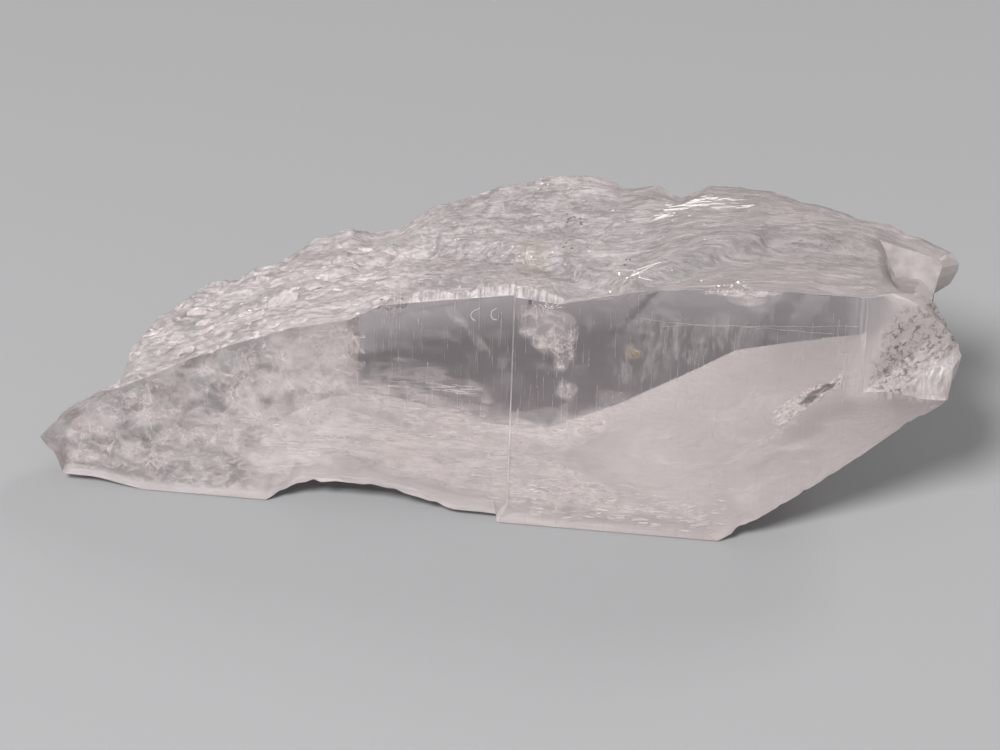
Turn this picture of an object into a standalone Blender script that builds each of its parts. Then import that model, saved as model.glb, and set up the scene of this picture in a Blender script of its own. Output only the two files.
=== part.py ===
"""Selenite crystal blade: one broken piece of clear gypsum that lies on its lower edge.

The blade is a stack of flat cleavage sheets that lean back from upright. It is lofted through them,
from the flat front plane to the flat back one, and each ring of the loft is the outline at one
depth. The ragged top is the broken ends of the sheets. The right end is chipped, with a prow of
deeper sheets standing out above the chip, and the lower right corner is cut back by a long bevel.

X runs along the blade, Y goes back through the sheets, and Z is up from the surface it rests on.
"Depth" is how far behind the front plane a point is, at its own height.
"""

import math

import bmesh
import bpy
from mathutils import Vector, noise

MM = 0.001

# Driving dimensions, in millimetres.
DEPTH = 22.0  # level distance from the front plane to the back one
LEAN = math.tan(math.radians(15.0))  # how far the sheets lean back from upright
WINDOW_LEFT = -18.6  # left edge of the clear flat back
CRACK_STEP = 0.35  # how far the front sheet stands out to the right of the crack
CRACK_TOP = (0.15, 0.45)  # the crack's two edges where it meets the top
CRACK_SLOPE = 0.044  # the crack leans this much to the left, going down
PROW_FACE = 11.0  # depth of the prow's own flat face
RECESS_WALL = 38.6  # the top drops past this X to the chipped end, in front of the prow
LIP_LEFT, LIP_RIGHT, LIP_RISE = -15.0, 3.5, 1.0  # fibrous lip along the front edge
SERRATION, SERRATION_PITCH = 0.22, 1.9
SCALE_LENGTH, SCALE_STEP = 4.4, 0.75  # the overlapping scales of the left shoulder
CHIP_DEPTH = 0.8  # bites out of the ends of the sheets
TOP_GRAIN, END_GRAIN = 0.3, 0.14  # unevenness of the ragged top, and of the other broken faces

# Outlines are (x, z), before the blade is centred. These five run along the top, at shares of the
# depth: the front edge, the dished shells behind it, the shoulder, the crest and the back edge.
FRONT_EDGE = [
    (-51.9, 5.2), (-48.8, 8.7), (-44.9, 11.0), (-42.9, 11.5), (-35.3, 15.4), (-29.8, 17.8),
    (-23.8, 20.0), (-17.3, 21.5), (-14.1, 23.3), (-7.6, 24.4), (0.3, 25.6), (5.1, 25.2),
    (13.5, 27.3), (23.9, 28.4), (37.2, 28.5),
]  # fmt: skip
SHELLS = [
    (-51.9, 4.9), (-48.8, 8.2), (-44.9, 10.2), (-43.4, 10.7), (-42.6, 12.0), (-35.3, 15.7),
    (-24.0, 20.3), (-17.0, 21.9), (-13.0, 23.0), (-6.0, 24.2), (0.0, 24.5), (6.0, 24.7),
    (12.3, 25.3), (16.5, 26.9), (22.0, 27.9), (30.0, 28.2), (38.6, 27.4), (46.5, 25.2),
]  # fmt: skip
SHOULDER = [
    (-51.9, 4.3), (-48.8, 7.0), (-44.9, 8.5), (-43.7, 9.2), (-42.8, 12.4), (-40.4, 14.8),
    (-35.0, 16.9), (-25.4, 20.3), (-20.5, 21.6), (-17.0, 21.2), (-12.0, 23.0), (-3.7, 24.4),
    (2.8, 25.3), (7.9, 26.4), (12.2, 27.4), (18.6, 29.2), (25.1, 29.5), (31.6, 29.1),
    (38.6, 28.1), (42.0, 27.0), (46.4, 25.4),
]  # fmt: skip
CREST = [
    (-51.9, 3.9), (-48.8, 6.2), (-44.9, 7.3), (-43.8, 8.0), (-42.4, 11.2), (-40.4, 14.6),
    (-36.4, 16.6), (-31.8, 17.6), (-25.4, 19.6), (-21.0, 22.0), (-20.0, 22.2), (-17.8, 20.4),
    (-14.5, 21.2), (-11.1, 23.7), (-3.7, 26.8), (0.0, 27.7), (1.2, 28.4), (6.1, 28.8),
    (9.2, 28.3), (9.9, 27.8), (13.4, 28.1), (16.4, 27.0), (19.5, 28.6), (22.7, 28.8),
    (28.8, 28.0), (30.0, 27.8), (34.8, 26.6), (38.6, 24.9), (42.5, 23.9), (46.5, 22.5),
]  # fmt: skip
BACK_EDGE = [
    (-51.9, 3.6), (-46.0, 6.2), (-41.5, 10.4), (-34.0, 13.6), (-27.0, 15.4), (-18.0, 17.4),
    (-11.0, 20.6), (-3.0, 22.6), (8.0, 24.0), (14.0, 23.0), (22.0, 23.6), (30.0, 22.0), (38.5, 19.8),
]  # fmt: skip
TOP_LINES = [(0.0, FRONT_EDGE), (0.2, SHELLS), (0.6, SHOULDER), (0.82, CREST), (1.0, BACK_EDGE)]

# The left tip, from its foot up, and the underside from right to left, at the front and the back.
LEFT_TIP = [(-49.5, 1.1), (-49.8, 2.3), (-50.3, 3.4), (-51.4, 4.4), (-51.9, 5.2)]
FRONT_FOOT = [
    (46.4, 18.0), (41.3, 14.1), (37.9, 11.1), (34.0, 7.9), (31.9, 6.2), (27.7, 3.1), (23.5, 0.0),
    (11.5, 0.0), (-0.7, 0.0), (-0.9, 0.7), (-5.6, 0.8), (-9.3, 1.8), (-14.8, 2.9), (-18.6, 2.8),
    (-22.9, 2.4), (-24.3, 1.5), (-26.5, 0.0), (-34.0, 0.0), (-40.5, 0.0), (-45.7, 1.0), (-49.5, 1.1),
]  # fmt: skip
BACK_FOOT = [
    (39.0, 14.5), (37.0, 13.7), (29.5, 12.3), (23.6, 10.9), (18.8, 8.0), (11.0, 3.6), (3.0, 0.0),
    (0.0, 0.0), (-4.0, 0.0), (-4.6, 0.3), (-8.0, 0.9), (-11.0, 1.6), (-14.5, 2.2), (-18.6, 2.7),
    (-21.5, 2.5), (-23.8, 1.6), (-27.0, 0.0), (-33.0, 0.0), (-38.5, 0.0), (-44.0, 1.2), (-49.5, 1.6),
]  # fmt: skip

# The right end at each depth, from the top corner down to the bevel.
RIGHT_END = [
    (0.0, [(37.2, 28.5), (37.4, 23.9), (37.5, 18.2), (40.4, 18.5), (43.5, 18.0), (46.4, 18.0)]),
    (1.2, [(38.4, 28.0), (39.2, 25.0), (41.0, 20.6), (44.3, 20.9), (46.7, 20.9), (46.5, 17.3)]),
    (3.0, [(39.8, 27.4), (42.6, 26.3), (45.2, 24.3), (46.9, 22.7), (47.6, 21.2), (46.4, 16.5)]),
    (6.0, [(42.6, 25.6), (44.3, 24.9), (45.5, 23.2), (46.5, 21.5), (47.0, 19.0), (45.8, 15.8)]),
    (10.9, [(42.5, 22.9), (43.3, 22.2), (44.0, 21.0), (44.8, 19.5), (45.2, 17.5), (44.5, 15.0)]),
    (11.0, [(44.7, 26.5), (45.1, 25.8), (44.9, 24.6), (44.2, 23.4), (43.6, 22.3), (44.4, 15.0)]),
    (13.2, [(46.3, 25.4), (46.6, 24.9), (46.6, 24.2), (46.1, 22.7), (44.4, 21.3), (43.8, 15.0)]),
    (17.0, [(42.6, 24.6), (43.5, 23.4), (43.7, 21.6), (43.2, 19.6), (42.9, 17.6), (42.4, 15.2)]),
    (22.0, [(38.5, 19.8), (39.0, 18.8), (39.2, 17.8), (39.3, 16.8), (39.2, 15.8), (39.0, 14.5)]),
]  # fmt: skip

# The depth of the blade as (x, depth). To the left of the window the rear sheets end in steps.
REAR_STEPS = [
    (-51.9, 3.2), (-46.6, 6.2), (-45.4, 8.0), (-38.6, 11.4), (-37.2, 13.6), (-27.6, 17.2),
    (-26.2, 19.4), (-19.6, 20.7), (-18.6, 22.0),
]  # fmt: skip
REAR_WOBBLE = 1.6  # how far those steps wander along X

# Ledges across the top as lines of (x, depth), with how far the top rises behind them.
VALLEY_LEDGE = [(-14.0, 12.0), (-5.0, 10.5), (4.0, 8.0), (12.3, 2.6), (19.5, 5.5), (25.5, 8.5), (38.0, 10.5)]
STRIATED_LEDGE = [(-40.0, 5.5), (-24.0, 10.0), (-8.0, 13.0), (4.0, 13.6), (20.0, 13.4), (46.0, 12.6)]
VALLEY_RISE, STRIATED_RISE = 0.75, 0.55
LEDGE_WIDTH, LEDGE_REACH = 0.5, 3.5

# Depth shares of the rings. The pairs that nearly meet are the edges of sheets.
RING_SHARES = [
    0.0, 0.03, 0.0545, 0.09, 0.136, 0.2, 0.265, 0.33, 0.39, 0.44, 0.495, 0.5, 0.545, 0.59, 0.6,
    0.645, 0.69, 0.735, 0.742, 0.78, 0.82, 0.86, 0.91, 0.96, 1.0,
]  # fmt: skip
SHEET_EDGES = (0.25, 0.5, 0.6, 0.742, 0.86)  # from each of these on, the broken ends differ
FIXED_TO = 34.0  # top stations keep their X up to here, and past it they follow the right end
STATION_SPACING = [
    (WINDOW_LEFT, 1.1), (-16.0, 1.1), (CRACK_TOP[0], 0.8), (CRACK_TOP[1], 0.3), (5.0, 0.8), (FIXED_TO, 1.0),
]  # fmt: skip
END_STATIONS, RIGHT_STEPS, FOOT_SPACING = 9, 3, 2.4
REAR_ROWS = 6


def mix(a, b, t):
    return a + (b - a) * t


def ramp(low, high, value):
    """0 below low, 1 above high, and a smooth climb between; low may be the greater one."""
    t = min(1.0, max(0.0, (value - low) / (high - low)))
    return t * t * (3 - 2 * t)


def along(line, x):
    """The second number of a line of pairs at x, straight between its points."""
    for (x0, y0), (x1, y1) in zip(line, line[1:]):
        if x <= x1:
            return mix(y0, y1, max(0.0, x - x0) / (x1 - x0))
    return line[-1][1]


def between(levels, depth):
    """The outline at a depth, from the ones given in front of it and behind it."""
    for (d0, front), (d1, back) in zip(levels, levels[1:]):
        if depth <= d1:
            t = max(0.0, depth - d0) / (d1 - d0)
            return blended(front, back, t)
    return levels[-1][1]


def blended(line_a, line_b, t):
    return [(mix(a[0], b[0], t), mix(a[1], b[1], t)) for a, b in zip(line_a, line_b)]


def subdivided(corners, counts):
    """Points along an outline that keeps its corners, with its last point left out."""
    made = []
    for a, b, count in zip(corners, corners[1:], counts):
        made += [(mix(a[0], b[0], k / count), mix(a[1], b[1], k / count)) for k in range(count)]
    return made


def grain(a, b, size, seed):
    """Smooth noise between -1 and 1 over two coordinates, in lumps of this size."""
    return noise.noise(Vector((a / size, b / size, 7.3 * seed)))


def top_stations():
    """The fixed X places across the top, closest together along the fibrous lip."""
    xs = [FRONT_EDGE[0][0]]
    for limit, spacing in STATION_SPACING:
        count = max(1, round((limit - xs[-1]) / spacing))
        start = xs[-1]
        xs += [mix(start, limit, (k + 1) / count) for k in range(count)]
    return xs


def station_at(x):
    """The number of the station nearest to x."""
    return min(range(len(STATIONS)), key=lambda k: abs(STATIONS[k] - x))


STATIONS = top_stations()
TOP_COUNT = len(STATIONS) + END_STATIONS - 1
FOOT_COUNTS = [max(1, round(math.dist(a, b) / FOOT_SPACING)) for a, b in zip(FRONT_FOOT, FRONT_FOOT[1:])]
RIGHT_COUNTS = [RIGHT_STEPS] * 5
FOOT_START = TOP_COUNT + sum(RIGHT_COUNTS)


def rear_depth(x, z):
    """Where the back of the blade is: flat in the window, and stepping forward to its left."""
    wander = REAR_WOBBLE * grain(z, 0.0, 3.0, 41) * ramp(WINDOW_LEFT - 1.2, WINDOW_LEFT - 4.0, x)
    return along(REAR_STEPS, x + wander)


def depth_of(x, z, share):
    """Depth of a point at this share of the way back. The front is proud right of the crack."""
    crack_x = 0.5 * sum(CRACK_TOP) - CRACK_SLOPE * (along(FRONT_EDGE, CRACK_TOP[0]) - z)
    front = CRACK_STEP if x < crack_x else 0.0
    return mix(front, rear_depth(x, z), share)


def ledge(line, rise, x, depth):
    """A local step: low just in front of the line, high just behind it, and fading away."""
    behind = depth - along(line, x)
    return rise * math.tanh(behind / LEDGE_WIDTH) * math.exp(-abs(behind) / LEDGE_REACH)


def top_height(x, share):
    """Height of the top, with its lip, its ledges and the chipped corner at the right."""
    depth = share * along(REAR_STEPS, x)
    for (s0, front), (s1, back) in zip(TOP_LINES, TOP_LINES[1:]):
        if share <= s1:
            z = mix(along(front, x), along(back, x), (share - s0) / (s1 - s0))
            break
    inside = ramp(0.0, 0.05, share) * ramp(1.0, 0.9, share)
    z += inside * ramp(-16.0, -10.0, x) * ledge(VALLEY_LEDGE, VALLEY_RISE, x, depth)
    z += inside * ramp(-44.0, -38.0, x) * ledge(STRIATED_LEDGE, STRIATED_RISE, x, depth)
    z += lip(x, depth)
    if x > RECESS_WALL and depth < PROW_FACE - 0.05:
        end = between(RIGHT_END, depth)[0]
        z = min(z, end[1] + 0.12 * (end[0] - x))
    return z


def lip(x, depth):
    """The fibrous lip stands on the front edge, and falls away behind it."""
    length = ramp(LIP_LEFT - 2.0, LIP_LEFT, x) * ramp(LIP_RIGHT + 3.0, LIP_RIGHT, x)
    rise = LIP_RISE + SERRATION * math.sin(2 * math.pi * x / SERRATION_PITCH)
    return rise * length * ramp(0.0, 0.6, depth) * ramp(3.4, 1.2, depth)


def broken_end(x, share):
    """What the broken ends of the sheets add to the height of the top."""
    sheet = sum(share >= edge for edge in SHEET_EDGES)
    depth = share * along(REAR_STEPS, x)
    fade = ramp(0.0, 0.06, share) * ramp(1.0, 0.97, share) * ramp(-51.5, -45.0, x)
    rough = mix(0.35, 1.0, ramp(14.0, 6.0, x) * ramp(-26.0, -18.0, x))
    chip = -CHIP_DEPTH * rough * ramp(0.18, 0.4, grain(x, 30.0 * sheet, 6.0, 2))
    lumps = TOP_GRAIN * (grain(x, 2 * depth, 3.4, 11 + sheet) + 0.6 * grain(x, 2 * depth, 1.6, 5))
    place = x / SCALE_LENGTH + 0.37 * sheet + 0.5 * grain(x, depth, 9.0, 6)
    scale = SCALE_STEP * (0.5 - place % 1.0) * ramp(-14.0, -20.0, x) * ramp(0.85, 0.65, share)
    return fade * (chip + lumps + scale)


def ring(share):
    """One outline of the blade, clockwise from the left tip: top, right end, underside, tip."""
    right = between(RIGHT_END, share * DEPTH)
    end_x = right[0][0]
    xs = STATIONS + [mix(FIXED_TO, end_x, k / END_STATIONS) for k in range(1, END_STATIONS)]
    outline = [(x, top_height(x, share) + broken_end(x, share)) for x in xs]
    uneven = END_GRAIN * ramp(0.0, 0.1, share) * ramp(1.0, 0.92, share)
    for x, z in subdivided(right, RIGHT_COUNTS):
        jag = uneven * (grain(z, share * DEPTH, 2.0, 21) + grain(z, share * DEPTH, 5.0, 22))
        outline.append((x + 2 * jag, z + 0.6 * jag))
    foot = [right[-1]] + blended(FRONT_FOOT[1:], BACK_FOOT[1:], share)
    for x, z in subdivided(foot, FOOT_COUNTS):
        outline.append((x, z + 2 * uneven * ramp(0.3, 1.5, z) * grain(x, share * DEPTH, 3.5, 23)))
    tip = [foot[-1]] + LEFT_TIP[1:-1] + [outline[0]]
    outline += subdivided(tip, [1] * (len(tip) - 1))
    return [(x, depth_of(x, z, share), z) for x, z in outline]


def placed(x, depth, z):
    """A point in metres, with the lean of the sheets: what is higher lies further back."""
    return Vector((x, depth + z * LEAN, z)) * MM


def face(bm, corners):
    """One face, unless two of its corners are the same vertex and leave too few."""
    distinct = list(dict.fromkeys(corners))
    if len(distinct) > 2:
        bm.faces.new(distinct)


def zip_up(bm, upper, lower):
    """Triangles between two chains of vertices that both run left to right."""
    i, j = 0, 0
    while i < len(upper) - 1 or j < len(lower) - 1:
        at_end = j == len(lower) - 1
        if i < len(upper) - 1 and (at_end or upper[i + 1].co.x <= lower[j + 1].co.x):
            face(bm, (upper[i], upper[i + 1], lower[j]))
            i += 1
        else:
            face(bm, (upper[i], lower[j + 1], lower[j]))
            j += 1


def close_front(bm, verts):
    """The front plane, in two faces with the riser of the crack between them."""
    top = station_at(CRACK_TOP[0])
    foot = FOOT_START + sum(FOOT_COUNTS[:9])
    face(bm, verts[: top + 1] + verts[foot:])
    face(bm, (verts[top], verts[top + 1], verts[foot - 1], verts[foot]))
    face(bm, verts[top + 1 : foot])


def close_back(bm, verts):
    """The flat window of the back, and the stepped, rough patch to its left."""
    top = station_at(WINDOW_LEFT)
    foot = FOOT_START + sum(FOOT_COUNTS[:13])
    lower = [verts[0]] + verts[: foot - 1 : -1]
    floor = [(v.co.x / MM, v.co.z / MM) for v in lower]
    rows = [verts[: top + 1]]
    for r in range(1, REAR_ROWS):
        row = [verts[0]]
        for above in verts[1 : top + 1]:
            x = above.co.x / MM
            z = mix(above.co.z / MM, along(floor, x), r / REAR_ROWS)
            rough = 2 * END_GRAIN * grain(x, z, 2.5, 31) * ramp(WINDOW_LEFT - 0.8, WINDOW_LEFT - 3.0, x)
            row.append(bm.verts.new(placed(x, rear_depth(x, z) + rough, z)))
        rows.append(row)
    for upper, under in zip(rows, rows[1:]):
        for k in range(top):
            face(bm, (upper[k], under[k], under[k + 1], upper[k + 1]))
    zip_up(bm, rows[-1], lower)
    face(bm, verts[top : foot + 1] + [row[-1] for row in rows[:0:-1]])


def blade_mesh():
    bm = bmesh.new()
    rings = [[bm.verts.new(placed(*point)) for point in ring(share)] for share in RING_SHARES]
    for front, back in zip(rings, rings[1:]):
        for i in range(len(front)):
            j = (i + 1) % len(front)
            face(bm, (front[i], front[j], back[j], back[i]))
    close_front(bm, rings[0])
    close_back(bm, rings[-1])
    bmesh.ops.recalc_face_normals(bm, faces=bm.faces)
    return bm


def centred(bm):
    """Moves the blade so that the middle of its underside's bounding rectangle is the origin."""
    low = [min(v.co[axis] for v in bm.verts) for axis in range(3)]
    high = [max(v.co[axis] for v in bm.verts) for axis in range(3)]
    shift = Vector((-0.5 * (low[0] + high[0]), -0.5 * (low[1] + high[1]), -low[2]))
    bmesh.ops.translate(bm, verts=bm.verts, vec=shift)


def crystal_material():
    """Clear, slightly milky gypsum."""
    material = bpy.data.materials.new("selenite")
    material.use_nodes = True
    shader = material.node_tree.nodes["Principled BSDF"]
    shader.inputs["Base Color"].default_value = (0.86, 0.81, 0.79, 1.0)
    shader.inputs["Roughness"].default_value = 0.15
    shader.inputs["Metallic"].default_value = 0.0
    shader.inputs["Transmission Weight"].default_value = 1.0
    shader.inputs["IOR"].default_value = 1.52
    return material


def main():
    for old in list(bpy.data.objects):
        bpy.data.objects.remove(old)
    bm = blade_mesh()
    centred(bm)
    mesh = bpy.data.meshes.new("selenite_blade")
    bm.to_mesh(mesh)
    bm.free()
    mesh.materials.append(crystal_material())
    blade = bpy.data.objects.new("selenite_blade", mesh)
    bpy.context.scene.collection.objects.link(blade)


main()
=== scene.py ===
"""Studio picture of a selenite crystal blade: a leaning stack of clear cleavage sheets.

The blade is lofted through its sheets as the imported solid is, from the same outlines, and much finer,
so that the ledges, scales, fibres and pits of the broken faces are real shapes. Lengths in the outlines
are millimetres. "Depth" is how far behind the front plane a point is, at its own height.
"""

import math

import bmesh
import bpy
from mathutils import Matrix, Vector, noise


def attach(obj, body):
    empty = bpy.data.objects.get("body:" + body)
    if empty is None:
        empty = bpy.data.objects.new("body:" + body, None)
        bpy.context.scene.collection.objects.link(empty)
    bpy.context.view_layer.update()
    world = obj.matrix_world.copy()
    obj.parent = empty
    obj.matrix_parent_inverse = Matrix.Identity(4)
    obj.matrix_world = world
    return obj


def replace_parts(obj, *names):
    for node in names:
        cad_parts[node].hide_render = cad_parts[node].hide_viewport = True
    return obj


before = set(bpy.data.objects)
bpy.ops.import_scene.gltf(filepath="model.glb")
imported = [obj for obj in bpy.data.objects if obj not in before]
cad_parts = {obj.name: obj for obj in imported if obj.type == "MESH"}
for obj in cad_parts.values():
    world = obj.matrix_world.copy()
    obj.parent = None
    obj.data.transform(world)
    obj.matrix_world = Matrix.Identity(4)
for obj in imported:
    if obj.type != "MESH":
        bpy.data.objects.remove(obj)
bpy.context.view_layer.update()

MM = 0.001

# ---------------------------------------------------------------- sizes of the blade, in millimetres
DEPTH = 22.0  # level distance from the front plane to the back one
LEAN_ANGLE = math.radians(15.0)  # how far the sheets lean back from upright
LEAN = math.tan(LEAN_ANGLE)
WINDOW_LEFT = -18.6  # left edge of the clear flat back
CRACK_STEP = 0.35  # how far the front sheet stands out to the right of the crack
CRACK_TOP = (0.22, 0.38)  # the crack's two edges where it meets the top
CRACK_LINE = [(0.35, -0.8), (2.0, 0.3)]  # height and x of the crack; it turns aside to a notch in the foot
LOBE_DEPTH = 1.2  # the chipped corner falls back this far in its first step
PROW_FACE = 11.0  # depth of the prow's own flat face
RECESS_WALL = 38.6  # the top drops past this X to the chipped end, in front of the prow
LIP_LEFT, LIP_RIGHT, LIP_RISE = -10.0, 3.5, 1.0  # fibrous lip along the front edge
CHIP_DEPTH = 0.8  # bites out of the ends of the sheets
PATCH_CORNER, PATCH_SLOPE = (38.1, 17.5), 0.52  # lower edge of the end's pitted patch: x, height, slope
STAIN_ON_TOP = (1.2, 9.2)  # x and depth of the ochre stain on the top
CENTRE = Vector((2.1709, -14.2154, 0.0))  # from the outlines' origin to the middle of the blade's box

FRONT_EDGE = [
    (-51.9, 5.2), (-48.8, 8.7), (-44.9, 11.0), (-42.9, 11.5), (-35.3, 15.4), (-29.8, 17.8),
    (-23.8, 20.0), (-17.3, 21.5), (-14.1, 23.3), (-7.6, 24.4), (0.3, 25.6), (5.1, 25.2),
    (13.5, 27.3), (23.9, 28.4), (37.2, 28.5),
]  # fmt: skip
SHELLS = [
    (-51.9, 4.9), (-48.8, 8.2), (-44.9, 10.2), (-43.4, 10.7), (-42.6, 12.0), (-35.3, 15.7),
    (-24.0, 20.3), (-17.0, 21.9), (-13.0, 23.0), (-6.0, 24.2), (0.0, 24.5), (6.0, 24.7),
    (12.3, 25.3), (16.5, 26.9), (22.0, 27.9), (30.0, 28.2), (38.6, 27.4), (46.5, 25.2),
]  # fmt: skip
SHOULDER = [
    (-51.9, 4.3), (-48.8, 7.0), (-44.9, 8.5), (-43.7, 9.2), (-42.8, 12.4), (-40.4, 14.8),
    (-35.0, 16.9), (-25.4, 20.3), (-20.5, 21.6), (-17.0, 21.2), (-12.0, 23.0), (-3.7, 24.4),
    (2.8, 25.3), (7.9, 26.4), (12.2, 27.4), (18.6, 29.2), (25.1, 29.5), (31.6, 29.1),
    (38.6, 28.1), (42.0, 27.0), (46.4, 25.4),
]  # fmt: skip
CREST = [
    (-51.9, 3.9), (-48.8, 6.2), (-44.9, 7.3), (-43.8, 8.0), (-42.4, 11.2), (-40.4, 14.6),
    (-36.4, 16.6), (-31.8, 17.6), (-25.4, 19.6), (-21.0, 22.0), (-20.0, 22.2), (-17.8, 20.4),
    (-14.5, 21.2), (-11.1, 23.7), (-3.7, 26.8), (0.0, 27.7), (1.2, 28.4), (6.1, 28.8),
    (9.2, 28.3), (9.9, 27.8), (13.4, 28.1), (16.4, 27.0), (19.5, 28.6), (22.7, 28.8),
    (28.8, 28.0), (30.0, 27.8), (34.8, 26.6), (38.6, 24.9), (42.5, 23.9), (46.5, 22.5),
]  # fmt: skip
BACK_EDGE = [
    (-51.9, 3.6), (-46.0, 6.2), (-41.5, 10.4), (-34.0, 13.6), (-27.0, 15.4), (-18.0, 17.4),
    (-11.0, 20.6), (-3.0, 22.6), (8.0, 24.0), (14.0, 23.0), (22.0, 23.6), (30.0, 22.0), (38.5, 19.8),
]  # fmt: skip
TOP_LINES = [(0.0, FRONT_EDGE), (0.2, SHELLS), (0.6, SHOULDER), (0.82, CREST), (1.0, BACK_EDGE)]
LEFT_TIP = [(-49.5, 1.1), (-49.8, 2.3), (-50.3, 3.4), (-51.4, 4.4), (-51.9, 5.2)]
FRONT_FOOT = [
    (46.4, 18.0), (41.3, 14.1), (37.9, 11.1), (34.0, 7.9), (31.9, 6.2), (27.7, 3.1), (23.5, 0.0),
    (11.5, 0.0), (-0.7, 0.0), (-0.9, 0.7), (-5.6, 0.8), (-9.3, 1.8), (-14.8, 2.9), (-18.6, 2.8),
    (-22.9, 2.4), (-24.3, 1.5), (-26.5, 0.0), (-34.0, 0.0), (-40.5, 0.0), (-45.7, 1.0), (-49.5, 1.1),
]  # fmt: skip
BACK_FOOT = [
    (39.0, 14.5), (37.0, 13.7), (29.5, 12.3), (23.6, 10.9), (18.8, 8.0), (11.0, 3.6), (3.0, 0.0),
    (0.0, 0.0), (-4.0, 0.0), (-4.6, 0.3), (-8.0, 0.9), (-11.0, 1.6), (-14.5, 2.2), (-18.6, 2.7),
    (-21.5, 2.5), (-23.8, 1.6), (-27.0, 0.0), (-33.0, 0.0), (-38.5, 0.0), (-44.0, 1.2), (-49.5, 1.6),
]  # fmt: skip
RIGHT_END = [
    (0.0, [(37.2, 28.5), (37.4, 23.9), (37.5, 18.2), (40.4, 18.5), (43.5, 18.0), (46.4, 18.0)]),
    (1.2, [(38.4, 28.0), (39.2, 25.0), (41.0, 20.6), (44.3, 20.9), (46.7, 20.9), (46.5, 17.3)]),
    (3.0, [(39.8, 27.4), (42.6, 26.3), (45.2, 24.3), (46.9, 22.7), (47.6, 21.2), (46.4, 16.5)]),
    (6.0, [(42.6, 25.6), (44.3, 24.9), (45.5, 23.2), (46.5, 21.5), (47.0, 19.0), (45.8, 15.8)]),
    (10.9, [(42.5, 22.9), (43.3, 22.2), (44.0, 21.0), (44.8, 19.5), (45.2, 17.5), (44.5, 15.0)]),
    (11.0, [(44.7, 26.5), (45.1, 25.8), (44.9, 24.6), (44.2, 23.4), (43.6, 22.3), (44.4, 15.0)]),
    (13.2, [(46.3, 25.4), (46.6, 24.9), (46.6, 24.2), (46.1, 22.7), (44.4, 21.3), (43.8, 15.0)]),
    (17.0, [(42.6, 24.6), (43.5, 23.4), (43.7, 21.6), (43.2, 19.6), (42.9, 17.6), (42.4, 15.2)]),
    (22.0, [(38.5, 19.8), (39.0, 18.8), (39.2, 17.8), (39.3, 16.8), (39.2, 15.8), (39.0, 14.5)]),
]  # fmt: skip
REAR_STEPS = [
    (-51.9, 3.2), (-46.6, 6.2), (-45.4, 8.0), (-38.6, 11.4), (-37.2, 13.6), (-27.6, 17.2),
    (-26.2, 19.4), (-19.6, 20.7), (-18.6, 22.0),
]  # fmt: skip
REAR_WOBBLE = 1.6  # how far the steps of the back wander to either side
VALLEY_LEDGE = [(-14.0, 12.0), (-5.0, 10.5), (4.0, 8.0), (12.3, 2.6), (19.5, 5.5), (25.5, 8.5), (38.0, 10.5)]
STRIATED_LEDGE = [(-40.0, 5.5), (-24.0, 10.0), (-8.0, 13.0), (4.0, 13.6), (20.0, 13.4), (46.0, 12.6)]
VALLEY_RISE, STRIATED_RISE = 0.95, 0.5  # how high the two ledges stand
LEDGE_REACH = 3.5  # how far from its line a ledge is felt
SHEET_EDGES = (0.25, 0.5, 0.6, 0.742, 0.86)  # shares of the way back where one sheet ends and the next begins
FIXED_TO = 34.0  # the stations along the top are the same in every ring up to this x
CRACK_CORNER, WINDOW_CORNER = 9, 13  # corners of the foot where the crack and the window's edge end
SHARP_ANGLE = math.radians(38.0)

# How finely the broken faces are made. Gaps are in millimetres.
STATION = 0.27  # along the top
LIP_STATION = 0.13  # along the fibrous lip
RING_GAP = 0.23  # through the sheets
FOOT_GAP = 0.9  # along the underside
END_POINTS = 18  # how many points between two corners of the right end
BACK_ROWS = 50  # how many rows down the rough part of the back


# ---------------------------------------------------------------- small tools for shapes
def mix(a, b, t):
    return a + (b - a) * t


def ramp(low, high, value):
    """0 below low, 1 above high, and a smooth climb between; low may be the greater one."""
    t = min(1.0, max(0.0, (value - low) / (high - low)))
    return t * t * (3 - 2 * t)


def along(line, x):
    """The second number of a line of pairs at x, straight between its points."""
    for (x0, y0), (x1, y1) in zip(line, line[1:]):
        if x <= x1:
            return mix(y0, y1, max(0.0, x - x0) / (x1 - x0))
    return line[-1][1]


def blended(line_a, line_b, t):
    return [(mix(a[0], b[0], t), mix(a[1], b[1], t)) for a, b in zip(line_a, line_b)]


def between(levels, depth):
    """The outline at a depth, from the ones given in front of it and behind it."""
    for (d0, front), (d1, back) in zip(levels, levels[1:]):
        if depth <= d1:
            return blended(front, back, max(0.0, depth - d0) / (d1 - d0))
    return levels[-1][1]


def subdivided(corners, counts):
    """Points along an outline that keeps its corners, with its last point left out."""
    made = []
    for a, b, count in zip(corners, corners[1:], counts):
        made += [(mix(a[0], b[0], k / count), mix(a[1], b[1], k / count)) for k in range(count)]
    return made


def grain(a, b, size, seed):
    """Smooth noise between -1 and 1 over two coordinates, in lumps of this size."""
    return noise.noise(Vector((a / size, b / size, 7.3 * seed)))


def placed(x, depth, z):
    """A point in metres, with the lean of the sheets: what is higher lies further back."""
    return (Vector((x, depth + z * LEAN, z)) + CENTRE) * MM


# ---------------------------------------------------------------- shape of the top
def rear_depth(x, z):
    wander = REAR_WOBBLE * grain(z, 0.0, 3.0, 41) * ramp(WINDOW_LEFT - 1.2, WINDOW_LEFT - 4.0, x)
    return along(REAR_STEPS, x + wander)


def depth_of(x, z, share):
    """Depth of a point at this share of the way back. The front is proud right of the crack."""
    front = CRACK_STEP if x < along(CRACK_LINE, z) else 0.0
    return mix(front, rear_depth(x, z), share)


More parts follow.
